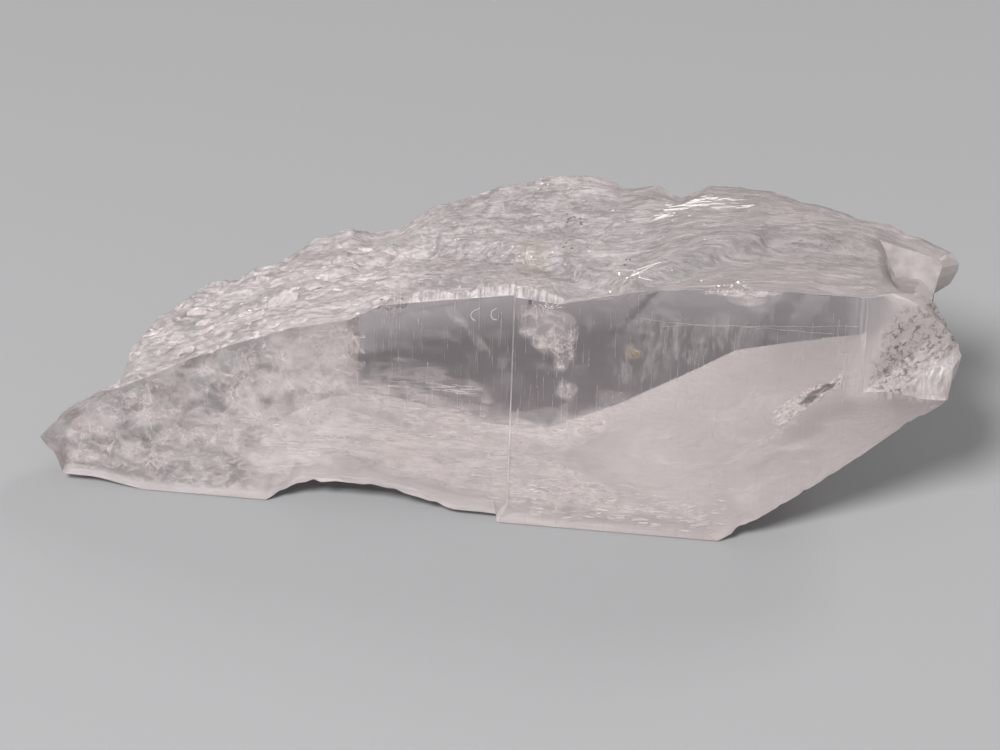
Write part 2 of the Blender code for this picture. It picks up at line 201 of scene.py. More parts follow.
def ledge(line, rise, width, x, depth):
    """A local step: low just in front of the line, high just behind it, and fading away."""
    behind = depth - along(line, x) - 0.7 * grain(x, 0.0, 6.0, 56) - 0.25 * grain(x, depth, 1.8, 57)
    return rise * math.tanh(behind / width) * math.exp(-abs(behind) / LEDGE_REACH)


def lip(x, depth):
    """The fibrous lip stands on the front edge, and falls away behind it. Its front is ribbed."""
    length = ramp(LIP_LEFT - 2.0, LIP_LEFT, x) * ramp(LIP_RIGHT + 3.0, LIP_RIGHT, x)
    rib = max(0.0, 0.12 + 0.22 * grain(x, 0.35 * depth, 0.9, 51) + 0.26 * grain(x, 0.0, 0.3, 53))
    teeth = 0.25 * grain(x, depth, 0.4, 54) + 0.5 * grain(x, depth, 2.0, 52)
    return (LIP_RISE + teeth) * length * ramp(rib, rib + 0.4, depth) * ramp(3.6, 1.3, depth)


def top_height(x, share):
    """Height of the top, with its lip, its ledges and the chipped corner at the right."""
    depth = share * along(REAR_STEPS, x)
    for (s0, front), (s1, back) in zip(TOP_LINES, TOP_LINES[1:]):
        if share <= s1:
            z = mix(along(front, x), along(back, x), (share - s0) / (s1 - s0))
            break
    inside = ramp(0.0, 0.05, share) * ramp(1.0, 0.9, share)
    z += inside * ramp(-16.0, -10.0, x) * ledge(VALLEY_LEDGE, VALLEY_RISE, 0.35, x, depth)
    broken = ramp(-44.0, -38.0, x) * (0.55 + grain(x, 0.0, 5.0, 58))
    z += inside * broken * ledge(STRIATED_LEDGE, STRIATED_RISE, 0.75, x, depth)
    z += lip(x, depth)
    wall = RECESS_WALL - 0.5 + 0.06 * (PROW_FACE - depth) + 0.5 * grain(depth, z, 1.3, 55)
    if x > wall and depth < PROW_FACE - 0.05:
        end = between(RIGHT_END, depth)[0]
        low = min(z, end[1] + 0.12 * (end[0] - x))
        z = mix(z, low, ramp(wall - 0.2, wall + 2.4, x))
    return z


def broken_end(x, share):
    """What the broken ends of the sheets add to the height of the top."""
    sheet = sum(share >= edge for edge in SHEET_EDGES)
    depth = share * along(REAR_STEPS, x)
    fade = ramp(0.0, 0.06, share) * ramp(1.0, 0.97, share) * ramp(-51.5, -45.0, x)
    rough = mix(0.3, 1.0, ramp(14.0, 6.0, x) * ramp(-26.0, -18.0, x))
    chip = -CHIP_DEPTH * rough * ramp(0.18, 0.4, grain(x, 30.0 * sheet, 6.0, 2))
    lumpy = 0.22 * (grain(x, 2 * depth, 4.0, 11 + sheet) + 0.6 * grain(x, 2 * depth, 1.6, 5))
    calm = calmness(x, depth)
    fine = fine_ledges(x, depth) + crumbs(x, depth) + threads(x, depth)
    skin = lumpy * mix(1.0, 0.4, calm) + shingles(x, depth, share) + fine * mix(1.0, 0.15, calm)
    return fade * (chip + skin)


def oval(x, depth, centre, radii):
    """1 in the middle of an oval, 0 outside it."""
    reach = math.hypot((x - centre[0]) / radii[0], (depth - centre[1]) / radii[1])
    return ramp(1.1, 0.75, reach)


def calmness(x, depth):
    """1 on the smooth dished shells: one behind the lip, one long one at the right."""
    return max(oval(x, depth, (-5.5, 3.6), (6.5, 2.0)), oval(x, depth, (24.0, 3.6), (13.0, 2.6)))


def shingles(x, depth, share):
    """Long overlapping scales on the left shoulder. Each one tilts up towards its front right corner."""
    where = ramp(-12.0, -18.0, x) * ramp(0.98, 0.88, share)
    if where == 0.0:
        return 0.0
    where *= mix(0.3, 1.0, ramp(-0.2, 0.2, grain(x, depth, 6.0, 62)))
    height = 0.0
    for length, width, rise, seed in ((5.6, 1.5, 0.46, 0.0), (2.6, 0.7, 0.14, 9.0)):
        bent = depth + 0.16 * x + 0.5 * grain(x, depth, 5.0, 61)
        place = Vector((x / length, bent / width, seed))
        middle = noise.voronoi(place)[1][0]
        across, behind = place.x - middle.x, place.y - middle.y
        height += rise * (0.45 * across - 0.75 * behind + 0.3 * grain(50 * middle.x, 50 * middle.y, 1.0, 63))
    return where * height


def fine_ledges(x, depth):
    """Low steps that run along the blade where thin sheets break off one behind another."""
    sheet = depth + 0.5 * grain(x, depth, 9.0, 71) + 0.12 * grain(x, depth, 2.2, 72)
    level = 0.0
    for pitch, rise, seed in ((1.6, 0.16, 73), (0.7, 0.06, 74)):
        k, t = math.floor(sheet / pitch), (sheet / pitch) % 1.0
        ends = grain(x, 4.0 * k, 4.5, seed)
        level += rise * (ramp(0.0, 0.2, t) - t) * (0.2 + ramp(-0.2, 0.3, ends))
    return level * mix(0.5, 1.0, ramp(-14.0, -8.0, x))


def end_relief(x, depth, z):
    """Hollows in the chipped end: a pitted patch, and upright ribs below it. The prow stays smooth."""
    lobe = ramp(10.8, 9.5, depth)
    below = z - PATCH_CORNER[1] - PATCH_SLOPE * (x - PATCH_CORNER[0]) + 0.5 * grain(x, z, 1.6, 25)
    patch = max(ramp(-0.3, 0.4, below), ramp(43.5, 42.0, x)) * ramp(27.2, 24.0, z)
    patch *= ramp(37.4, 40.0, x - 0.3 * (z - PATCH_CORNER[1]))
    wide, small = (noise.noise(Vector((x, depth, z)) / size) for size in (0.9, 0.36))
    pits = 0.16 * ramp(0.0, 0.4, wide) + 0.2 * ramp(0.1, 0.4, small)
    ribs = ramp(0.0, -0.5, below) * ramp(42.0, 43.5, x)
    return lobe * (patch * pits + 0.12 * ribs * grain(x - depth, 0.2 * z, 0.45, 24))


CRUMBLED = [
    (1.0, (5.0, 2.6), (4.5, 1.8)), (0.8, (5.0, 13.6), (3.6, 0.8)), (0.8, (7.0, 10.6), (4.0, 0.8)),
    (0.8, (10.0, 6.4), (4.0, 2.0)), (0.4, (-16.0, 8.0), (7.0, 5.0)),
]  # fmt: skip


def crumbs(x, depth):
    """Crumbled places, at the left end of the lip and where the two dished shells meet."""
    where = max(strength * oval(x, depth, centre, radii) for strength, centre, radii in CRUMBLED)
    where = max(where, 1.8 * ramp(0.0, 0.3, depth) * oval(x, depth, (-12.4, 1.3), (3.2, 1.8)))
    if where == 0.0:
        return 0.0
    reach = noise.voronoi(Vector((x, 1.2 * depth, 3.0)) / 0.95)[0]
    return where * (0.55 * (0.45 - reach[0]) + 0.3 * grain(x, depth, 0.6, 81))


def threads(x, depth):
    """Fine grooves along the sheets, longest at the right."""
    reach = mix(3.0, 11.0, ramp(8.0, 20.0, x))
    bent = depth + 0.3 * grain(x, 0.0, 7.0, 84)
    fine = mix(0.05, 0.1, ramp(0.0, 10.0, x))
    return fine * grain(x * 0.35 / reach, bent, 0.33, 82) + 0.09 * grain(x, depth, 0.5, 83)


# ---------------------------------------------------------------- the loft
def top_stations():
    """X places across the top, with one exactly at the window's edge and at each side of the crack."""
    xs = [FRONT_EDGE[0][0]]
    spacing = (
        (WINDOW_LEFT, STATION), (LIP_LEFT - 2.0, STATION), (CRACK_TOP[0], LIP_STATION), (CRACK_TOP[1], 0.3),
        (LIP_RIGHT + 2.0, LIP_STATION), (FIXED_TO, STATION),
    )  # fmt: skip
    for limit, gap in spacing:
        count = max(1, round((limit - xs[-1]) / gap))
        start = xs[-1]
        xs += [mix(start, limit, (k + 1) / count) for k in range(count)]
    return xs


def foot_counts():
    """Points along each edge of the foot, closer together along the bevel at the right."""
    counts = []
    for a, b in zip(FRONT_FOOT, FRONT_FOOT[1:]):
        closeness = 0.5 if a[0] > 23.5 else 1.0
        counts.append(max(1, round(math.dist(a, b) / closeness / FOOT_GAP)))
    return counts


STATIONS = top_stations()
END_STATIONS = round(10.0 / STATION)  # from FIXED_TO to the right end, which is about 10 mm further
TOP_COUNT = len(STATIONS) + END_STATIONS - 1
FOOT_COUNTS = foot_counts()
RIGHT_COUNTS = [END_POINTS] * (len(RIGHT_END[0][1]) - 1)
FOOT_START = TOP_COUNT + sum(RIGHT_COUNTS)


def ring_shares():
    """Depth shares of the rings, with a close pair at the edge of each sheet."""
    pairs = [share for edge in SHEET_EDGES for share in (edge - 0.003, edge)]
    fixed = [0.0, LOBE_DEPTH / DEPTH, 0.075] + pairs + [1.0]
    shares = [0.0]
    for a, b in zip(fixed, fixed[1:]):
        gap = RING_GAP * (0.2 if b < 0.06 else 0.55 if b < 0.08 else 1.0)
        count = max(1, round((b - a) * DEPTH / gap))
        shares += [mix(a, b, (k + 1) / count) for k in range(count)]
    return shares


def ring(share):
    """One outline of the blade, clockwise from the left tip: top, right end, underside, tip."""
    right = between(RIGHT_END, share * DEPTH)
    end_x = right[0][0]
    xs = STATIONS + [mix(FIXED_TO, end_x, k / END_STATIONS) for k in range(1, END_STATIONS)]
    outline = [(x, top_height(x, share) + broken_end(x, share)) for x in xs]
    uneven = 0.14 * ramp(0.0, 0.1, share) * ramp(1.0, 0.92, share)
    facing = ramp(3.0, 1.0, share * DEPTH)
    pushes = {}
    for x, z in subdivided(right, RIGHT_COUNTS):
        jag = uneven * (grain(z, share * DEPTH, 2.0, 21) + grain(z, share * DEPTH, 5.0, 22))
        hollow = ramp(0.0, 0.03, share) * end_relief(x, share * DEPTH, z)
        pushes[len(outline)] = facing * hollow
        outline.append((x + 2 * jag - (1.0 - facing) * hollow, z + 0.6 * jag))
    foot = [right[-1]] + blended(FRONT_FOOT[1:], BACK_FOOT[1:], share)
    for x, z in subdivided(foot, FOOT_COUNTS):
        nick = 0.35 * ramp(0.05, 0.45, grain(x, share * DEPTH, 1.3, 26))
        nick += 0.16 * grain(x, share * DEPTH, 0.9, 27)
        rise = nick * ramp(2.5, 0.5, share * DEPTH) + 2 * uneven * grain(x, share * DEPTH, 3.5, 23)
        outline.append((x, z + ramp(0.3, 1.5, z) * rise))
    tip = [foot[-1]] + LEFT_TIP[1:-1] + [outline[0]]
    outline += subdivided(tip, [2] * (len(tip) - 1))
    return [(x, depth_of(x, z, share) + pushes.get(k, 0.0), z) for k, (x, z) in enumerate(outline)]


def station_at(x):
    return min(range(len(STATIONS)), key=lambda k: abs(STATIONS[k] - x))


CLEAR, TOP, END, FOOT, REAR, PROW, CRACK = range(7)


def face(bm, corners, material):
    """One face, unless two of its corners are the same vertex and leave too few."""
    distinct = list(dict.fromkeys(corners))
    if len(distinct) > 2:
        made = bm.faces.new(distinct)
        made.material_index = material
        made.smooth = material != CLEAR


def zip_up(bm, upper, lower):
    """Triangles between two chains of vertices that both run left to right."""
    i, j = 0, 0
    while i < len(upper) - 1 or j < len(lower) - 1:
        at_end = j == len(lower) - 1
        if i < len(upper) - 1 and (at_end or upper[i + 1].co.x <= lower[j + 1].co.x):
            face(bm, (upper[i], upper[i + 1], lower[j]), REAR)
            i += 1
        else:
            face(bm, (upper[i], lower[j + 1], lower[j]), REAR)
            j += 1


def closed(bm, corners, material):
    """A flat face with many corners, cut into triangles that don't overlap."""
    made = bm.faces.new(corners)
    made.material_index = material
    bmesh.ops.triangulate(bm, faces=[made], ngon_method="EAR_CLIP")


def close_front(bm, verts):
    """The front plane, in two faces with the riser of the crack between them."""
    top = station_at(CRACK_TOP[0])
    foot = FOOT_START + sum(FOOT_COUNTS[:CRACK_CORNER])
    turn, depths = CRACK_LINE[-1][0], (CRACK_STEP, 0.0)
    inner, outer = (bm.verts.new(placed(x, depth, turn)) for x, depth in zip(CRACK_TOP, depths))
    closed(bm, verts[: top + 1] + [inner] + verts[foot:], CLEAR)
    face(bm, (verts[top], verts[top + 1], outer, inner), CRACK)
    face(bm, (inner, outer, verts[foot - 1], verts[foot]), CRACK)
    closed(bm, verts[top + 1 : foot] + [outer], CLEAR)


def close_back(bm, verts):
    """The flat window of the back, and the stepped, rough patch to its left."""
    top = station_at(WINDOW_LEFT)
    foot = FOOT_START + sum(FOOT_COUNTS[:WINDOW_CORNER])
    lower = [verts[0]] + verts[: foot - 1 : -1]
    floor = [(v.co.x / MM - CENTRE.x, v.co.z / MM) for v in lower]
    rows = [verts[: top + 1]]
    for r in range(1, BACK_ROWS):
        row = [verts[0]]
        for above in verts[1 : top + 1]:
            x = above.co.x / MM - CENTRE.x
            z = mix(above.co.z / MM, along(floor, x), r / BACK_ROWS)
            rough = ramp(WINDOW_LEFT - 0.8, WINDOW_LEFT - 3.0, x)
            bumps = 0.28 * grain(x, z, 2.5, 31) + 0.16 * grain(x, z, 0.9, 32)
            row.append(bm.verts.new(placed(x, rear_depth(x, z) + rough * bumps, z)))
        rows.append(row)
    for upper, under in zip(rows, rows[1:]):
        for k in range(top):
            face(bm, (upper[k], under[k], under[k + 1], upper[k + 1]), REAR)
    zip_up(bm, rows[-1], lower)
    closed(bm, verts[top : foot + 1] + [row[-1] for row in rows[:0:-1]], CLEAR)


def meshed(bm, name):
    """The mesh of what was built, which is then let go."""
    mesh = bpy.data.meshes.new(name)
    bm.to_mesh(mesh)
    bm.free()
    return mesh


def blade_mesh():
    bm = bmesh.new()
    shares = ring_shares()
    rings = [[bm.verts.new(placed(*point)) for point in ring(share)] for share in shares]
    kinds = [TOP] * (TOP_COUNT - 1) + [END] * (sum(RIGHT_COUNTS) + 1)
    kinds += [FOOT] * (len(rings[0]) - len(kinds))
    walls = [k for k, share in enumerate(shares) if abs(share - PROW_FACE / DEPTH) < 1e-6]
    for r, (front, back) in enumerate(zip(rings, rings[1:]), 1):
        for i, kind in enumerate(kinds):
            j = (i + 1) % len(front)
            flat = r in walls and kind in (TOP, END) and i >= len(STATIONS)
            face(bm, (front[i], front[j], back[j], back[i]), PROW if flat else kind)
    close_front(bm, rings[0])
    close_back(bm, rings[-1])
    bmesh.ops.recalc_face_normals(bm, faces=bm.faces)
    mesh = meshed(bm, "selenite_crystal")
    mesh.set_sharp_from_angle(angle=SHARP_ANGLE)
    return mesh


# ---------------------------------------------------------------- tools for trees of nodes
class Value:
    """What a node gives. It is reckoned with as a number is, and a name in brackets asks the same node
    for its output of that name."""

    def __init__(self, socket):
        self.socket = socket
        self.tree = socket.id_data

    def __getitem__(self, name):
        return Value(self.socket.node.outputs[name])

    def calc(self, operation, *values):
        return make(self.tree, "ShaderNodeMath", enumerate(values), operation=operation)

    def __add__(self, other):
        return self.calc("ADD", self, other)

    def __sub__(self, other):
        return self.calc("SUBTRACT", self, other)

    def __rsub__(self, other):
        return self.calc("SUBTRACT", other, self)

    def __mul__(self, other):
        return self.calc("MULTIPLY", self, other)

    def most(self, other):
        return self.calc("MAXIMUM", self, other)

    def spread(self, low, high, out_low=0.0, out_high=1.0):
        """Maps low to out_low and high to out_high, and holds still outside."""
        inputs = {"Value": self, "From Min": low, "From Max": high, "To Min": out_low, "To Max": out_high}
        return make(self.tree, "ShaderNodeMapRange", inputs, interpolation_type="SMOOTHSTEP")

    def blend(self, a, b):
        """A number between two, by this share."""
        return make(self.tree, "ShaderNodeMix", {"Factor": self, "A": a, "B": b}, data_type="FLOAT")

    def tint(self, dark, light):
        """A colour between two, by this share. The dark one may be another node's."""
        dark = dark if isinstance(dark, Value) else (*dark, 1)
        inputs = {"Factor": self, "A": dark, "B": (*light, 1)}
        return make(self.tree, "ShaderNodeMix", inputs, data_type="RGBA")["Result"]

    def bump(self, distance):
        return make(self.tree, "ShaderNodeBump", {"Height": self, "Distance": distance * MM})


def join(value, socket):
    """Sets an input of a node to a plain value, or joins another node's output to it."""
    if isinstance(value, Value):
        value.tree.links.new(value.socket, socket)
    else:
        socket.default_value = value


def make(tree, kind, inputs=(), **settings):
    """What a new node with these settings and inputs gives."""
    node = tree.nodes.new(kind)
    for name, value in settings.items():
        setattr(node, name, value)
    for key, value in dict(inputs).items():
        join(value, node.inputs[key])
    return Value(node.outputs[0]) if node.outputs else None


def vector(tree, operation, **inputs):
    """One step with vectors: a and b are its first two inputs."""
    places = {"a": 0, "b": 1, "scale": "Scale"}
    named = {places[name]: value for name, value in inputs.items()}
    return make(tree, "ShaderNodeVectorMath", named, operation=operation)


class Finish:
    """A material in the making."""

    LOOKS = {
        "colour": "Base Color", "clear": "Transmission Weight", "rough": "Roughness", "normal": "Normal",
        "cover": "Alpha", "metal": "Metallic",
    }  # fmt: skip

    def __init__(self, name):
        self.material = bpy.data.materials.new(name)
        self.material.use_nodes = True
        self.tree = self.material.node_tree
        self.shader = self.tree.nodes["Principled BSDF"]
        self.shader.inputs["IOR"].default_value = REFRACTION
        self.place = self.mapped(Rotation=(LEAN_ANGLE, 0, 0))  # with Y across the sheets and Z up them

    def mapped(self, **change):
        """Where a point of the surface is, in millimetres."""
        place = make(self.tree, "ShaderNodeTexCoord")["Object"]
        return make(self.tree, "ShaderNodeMapping", {"Vector": place, "Scale": (1 / MM,) * 3, **change})

    def level(self):
        """X, Y and height of the surface. Its depth, as in the outlines, is Y less the lean."""
        place = make(self.tree, "ShaderNodeSeparateXYZ", {0: self.mapped(Location=-CENTRE)})
        return place["X"], place["Y"], place["Z"]

    def lumps(self, sizes, detail=3.0, rough=0.55, warp=0.0):
        """Noise from 0 to 1 in lumps of these sizes, along, across and up the sheets."""
        where = vector(self.tree, "DIVIDE", a=self.place, b=sizes)
        inputs = {"Vector": where, "Scale": 1.0, "Detail": detail, "Roughness": rough, "Distortion": warp}
        return make(self.tree, "ShaderNodeTexNoise", inputs)

    def done(self, **looks):
        """The material, with each look a plain value or a pattern."""
        for look, value in looks.items():
            if look == "colour" and isinstance(value, tuple):
                value = (*value, 1)
            join(value, self.shader.inputs[self.LOOKS[look]])
        return self.material


# ---------------------------------------------------------------- finishes
REFRACTION = 1.52  # how strongly gypsum bends light
DARK_GREY, PALE_GREY = (0.26, 0.235, 0.23), (0.66, 0.61, 0.60)


def clear_cleavage():
    """Glassy cleavage, with faint fibres standing up it. It dulls towards the left body and the right end."""
    glass = Finish("clear_cleavage")
    fibres = glass.lumps((0.4, 50, 7.0), 4)
    haze = glass.lumps((3.4, 50, 1.5), 6, 0.66)
    x, y, z = glass.level()
    left = x.spread(-15.5, -21.0) * haze.spread(0.35, 0.62, 0.04, 0.16)
    right = x.spread(34.6, 37.4) * z.spread(16.5, 18.5) * fibres.spread(0.35, 0.65, 0.05, 0.18)
    streaks = fibres.spread(0.52, 0.72) * haze.spread(0.4, 0.7) * 0.14
    cloudy = streaks.most(haze.spread(0.48, 0.75) * 0.09)
    dull = left.most(right).most(cloudy)
    # The glass colour darkens towards the back plane. The back keeps the crystal's slight violet warmth, and
    # its darkness is painted shade so that the window reads dark.
    return glass.done(
        colour=y.spread(8.0, 16.0).tint((0.955, 0.905, 0.90), (0.57, 0.495, 0.525)), clear=1.0 - dull,
        rough=fibres.spread(0.35, 0.8, 0.02, 0.10) + dull * 0.3, normal=fibres.bump(0.014),
    )  # fmt: skip


def seam(noise_value):
    """Thin wandering lines, where a noise passes its middle."""
    off = noise_value - 0.5
    return off.calc("ABSOLUTE", off).spread(0.0, 0.014, 1.0, 0.0)


def broken_top():
    """The broken ends of the sheets: frosted and finely fibrous, with clearer places between."""
    top = Finish("broken_top")
    x, y, z = top.level()
    depth = y - z * LEAN
    short, long = top.lumps((1.1, 0.32, 0.6), 6, 0.7, 0.3), top.lumps((3.0, 0.2, 0.6), 6, 0.66, 0.2)
    streaks = x.spread(0.0, 14.0).blend(short, long)
    patches = top.lumps((6.0, 2.0, 4.0), 4, 0.6)
    speckle = top.lumps((0.3, 0.2, 0.3), 2, 0.5)
    sparks = top.lumps((0.36, 0.16, 0.24), 4, 0.7)
    crossed = top.lumps((3.0, 1.6, 2.0), 3).spread(0.45, 0.62)
    seams = seam(top.lumps((14.0, 0.9, 3.0), 4, 0.5)).most(seam(top.lumps((2.4, 0.5, 1.0), 3, 0.5)) * crossed)
    ribs = top.lumps((0.22, 2.0, 3.0), 3).spread(0.38, 0.58, 0.1, 1.0)
    lip_white = depth.spread(1.3, 0.7) * x.spread(-14.0, -10.0) * x.spread(7.0, 4.0) * ribs
    white = (streaks * 0.7 + patches * 0.3).spread(0.36, 0.64) * 0.8 + lip_white * 0.6
    white = white + sparks.spread(0.57, 0.70, 0.0, 0.5) + x.spread(-6.0, -16.0, 0.0, 0.2)
    grey = white.tint((0.35, 0.32, 0.315), (0.76, 0.70, 0.69))
    grey = sparks.spread(0.43, 0.32, 0.0, 0.4).tint(grey, DARK_GREY)
    grey = (x.spread(6.0, 24.0) * 0.45).tint(grey, (0.38, 0.345, 0.34))
    across, behind = (value - middle for value, middle in zip((x, depth), STAIN_ON_TOP))
    stain = (across * across + behind * behind).spread(5.0, 0.5) * sparks.spread(0.48, 0.6) * 0.6
    grey = stain.tint(grey, (0.52, 0.41, 0.22))
    return top.done(
        colour=(seams * 0.5).tint(grey, DARK_GREY), rough=speckle.spread(0.35, 0.7, 0.62, 0.42),
        clear=white.blend(0.72, 0.45), normal=(streaks + speckle * 0.4 - seams * 0.35).bump(0.1),
    )  # fmt: skip


def frosted_foot():
    """The bevel and the underside, evenly frosted, with faint threads and cloudier places."""
    foot = Finish("frosted_foot")
    x, y = foot.level()[:2]
    threads = foot.lumps((5.0, 0.35, 0.35), 4)
    clouds = foot.lumps((9.0, 9.0, 3.0), 4)
    cells = foot.lumps((1.7, 1.7, 1.3), 5, 0.65, 0.6).spread(0.62, 0.42)
    grey = cells * x.spread(-25.0, -31.0) * y.spread(1.4, 3.2)
    white = (threads * 0.55 + clouds * 0.45).spread(0.38, 0.6)
    frost = white.tint((0.92, 0.875, 0.865), (0.99, 0.965, 0.955))
    frost = x.spread(-6.0, 36.0, 0.0, 0.9).tint(frost, (0.72, 0.67, 0.66))
    frost = x.spread(-48.6, -49.6).tint(frost, PALE_GREY)
    return foot.done(
        colour=grey.tint(frost, (0.46, 0.425, 0.42)), clear=grey.blend(0.05, 0.45), rough=0.5,
        normal=threads.bump(0.12),
    )  # fmt: skip


def etched_end():
    """The chipped right end: pale and smooth above, a grey pitted patch, ribbed and bright below it."""
    end = Finish("etched_end")
    x, y, z = end.level()
    depth = y - z * LEAN
    wander = (end.lumps((1.6, 1.6, 1.6), 3) - 0.5) * 1.6
    slope = x.calc("MULTIPLY_ADD", x, PATCH_SLOPE, PATCH_CORNER[1] - PATCH_SLOPE * PATCH_CORNER[0])
    below = z - slope + wander
    inner = x - z * 0.3 + wander
    low = below.spread(-0.3, 0.5).most(x.spread(43.6, 42.2))
    band = low * inner.spread(31.4, 33.4) * z.spread(27.6, 24.0) * depth.spread(9.8, 9.0)
    ribs = end.lumps((0.3, 0.3, 5.0), 3)
    ribbed = below.spread(0.2, -0.6) * x.spread(42.2, 43.6)
    # The near-black specks in the patch are painted shade, standing in for the shade inside its pits.
    pits = band * end.lumps((0.7, 0.7, 0.7), 5, 0.75, 0.3).spread(0.50, 0.60)
    bright = (ribbed * ribs.spread(0.42, 0.62)).most(ribs * 0.5)
    panel = bright.tint((0.54, 0.495, 0.485), (0.76, 0.705, 0.695))
    # Past the prow's face the end takes one steady pale tone: pale as the prow is, and lightened as painted
    # light where it faces away from the key light.
    pale = depth.spread(10.0, 10.8).tint(panel, (0.60, 0.555, 0.545))
    grey = (band * 0.9).tint(pale, (0.38, 0.34, 0.33))
    height = band * end.lumps((0.4, 0.4, 0.4), 3) + ribs * ribbed.blend(0.25, 0.7)
    return end.done(
        colour=pits.tint(grey, (0.16, 0.138, 0.132)), clear=band.blend(0.58, 0.40),
        rough=band.blend(0.34, 0.5), normal=height.bump(0.12),
    )  # fmt: skip


def prow_face():
    """The prow's own cleavage face: pale, flat and smooth."""
    prow = Finish("prow_face")
    haze = prow.lumps((1.6, 5.0, 1.2), 5)
    ripple = prow.lumps((0.4, 5.0, 3.0), 3)
    return prow.done(
        colour=haze.tint((0.56, 0.515, 0.505), PALE_GREY), clear=haze.spread(0.3, 0.7, 0.6, 0.4), rough=0.25,
        normal=ripple.bump(0.02),
    )  # fmt: skip


def milky_rear():
    """The stepped back of the left half: milky, with clearer grey cells in it."""
    rear = Finish("milky_rear")
    cells = rear.lumps((3.4, 4.0, 2.4), 6, 0.7, 0.6)
    white = cells.spread(0.42, 0.6) + rear.level()[0].spread(-30.0, -22.0, 0.0, 0.6)
    return rear.done(
        colour=white.tint((0.28, 0.255, 0.25), (0.80, 0.74, 0.73)), clear=white.blend(0.6, 0.15), rough=0.45,
        normal=cells.bump(0.3),
    )  # fmt: skip


def crack_wall():
    """The narrow wall of the crack that crosses the front."""
    wall = Finish("crack_wall")
    fleck = wall.lumps((0.5, 0.5, 0.8), 3)
    colour = fleck.tint((0.45, 0.40, 0.395), (0.85, 0.78, 0.77))
    return wall.done(colour=colour, clear=fleck.spread(0.3, 0.7, 0.85, 0.45), rough=0.35)


def loose_bits(name, colour, clear, grey_share):
    """Broken bits of sheet, white with the air under them."""
    bits = Finish(name)
    mottle = bits.lumps((0.5, 0.5, 0.5), 3)
    grey = tuple(grey_share * share for share in colour)
    return bits.done(
        colour=mottle.spread(0.35, 0.6).tint(grey, colour), clear=clear, rough=0.45, normal=mottle.bump(0.04),
    )  # fmt: skip


def air_fracture():
    """A film of air in a crack, which mirrors the light at every tilt."""
    film = Finish("air_fracture")
    ripple = film.lumps((0.4, 0.4, 0.4), 3)
    colour = ripple.tint((0.80, 0.75, 0.74), (1.0, 0.96, 0.95))
    return film.done(colour=colour, metal=1.0, rough=0.32, normal=ripple.bump(0.08))


def covered(fracture, thickness):
    """How much of what is behind it a fracture covers: its thickness, less towards its rim."""
    return thickness * make(fracture.tree, "ShaderNodeAttribute", attribute_name="cover")["Fac"]


def milky_web():
    """A healed fracture inside the clear sheets: a net of white lines over a patchy haze."""
    web = Finish("milky_web")
    bent = vector(web.tree, "ADD", a=web.place, b=web.lumps((3.0, 3.0, 3.0), 4) * 3.2)
    fog = web.lumps((3.0, 3.0, 2.2), 6, 0.65).spread(0.48, 0.66, 0.0, 0.18)
    for cell, strength in ((3.6, 0.28), (1.5, 0.12)):
        where = {"Vector": vector(web.tree, "DIVIDE", a=bent, b=(cell, cell, cell)), "Scale": 1.0}
        net = make(web.tree, "ShaderNodeTexVoronoi", where, feature="DISTANCE_TO_EDGE")
        fog = fog + net.spread(0.0, 0.06, strength, 0.0)
    wide = web.lumps((6.0, 6.0, 4.5), 2).spread(0.4, 0.6, 0.35, 1.25)
    fine = web.lumps((1.2, 1.2, 1.2), 3, 0.6).spread(0.35, 0.65, 0.3, 1.3)
    return web.done(colour=(0.93, 0.86, 0.85), cover=covered(web, fog * wide * fine), rough=0.6)


def milky_haze(name, sizes, thinnest, thickest, colour=(0.97, 0.91, 0.90)):
    """A cloudy place between two sheets, without lines."""
    haze = Finish(name)
    fog = haze.lumps(sizes, 6, 0.7).spread(0.38, 0.66, thinnest, thickest)
    return haze.done(colour=colour, cover=covered(haze, fog), rough=0.6)


# ---------------------------------------------------------------- the crystal
def added(name, mesh):
    """A piece of the crystal from its mesh."""
    piece = bpy.data.objects.new(name, mesh)
    bpy.context.scene.collection.objects.link(piece)
    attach(piece, "root")
    return piece


def crystal():
    mesh = blade_mesh()
    for finish in (clear_cleavage, broken_top, etched_end, frosted_foot, milky_rear, prow_face, crack_wall):
        mesh.materials.append(finish())
    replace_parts(added("selenite_crystal", mesh), "selenite_blade")
    return mesh


LEFT_BODY = [
    (-50.6, 4.6), (-48.4, 7.9), (-44.4, 10.3), (-42.6, 10.9), (-35.0, 14.8), (-29.5, 17.2), (-23.6, 19.4),
    (-17.6, 20.9), (-15.6, 20.6), (-15.6, 13.0), (-18.5, 9.8), (-25.0, 7.6), (-29.0, 4.6), (-31.0, 1.2),
    (-40.0, 0.9), (-45.5, 1.8), (-49.2, 2.0),
]  # fmt: skip
INNER_BODY = [(mix(x, -32.0, 0.08), mix(z, 10.5, 0.08)) for x, z in LEFT_BODY]
BODY_HAZE = [
    (-30.0, 6.0), (-30.5, 13.0), (-25.0, 17.0), (-17.0, 19.4), (-15.7, 12.6), (-18.0, 9.0), (-24.0, 6.6),
]  # fmt: skip
LOW_HAZE = [
    (-17.0, 13.8), (-8.0, 11.8), (0.3, 10.6), (6.8, 11.6), (12.7, 13.6), (14.1, 11.6), (9.8, 5.8),
    (1.1, 2.6), (-9.0, 3.4), (-16.0, 5.8),
]  # fmt: skip
FOOT_HAZE = [
    (-31.0, 2.4), (-27.0, 7.8), (-19.0, 12.0), (-10.0, 10.8), (-1.0, 9.4), (7.0, 8.4), (13.0, 5.0),
    (19.0, 1.0), (-0.4, 0.6), (-5.4, 1.4), (-9.5, 2.6), (-15.0, 3.6), (-22.5, 3.0), (-25.5, 1.0),
]  # fmt: skip
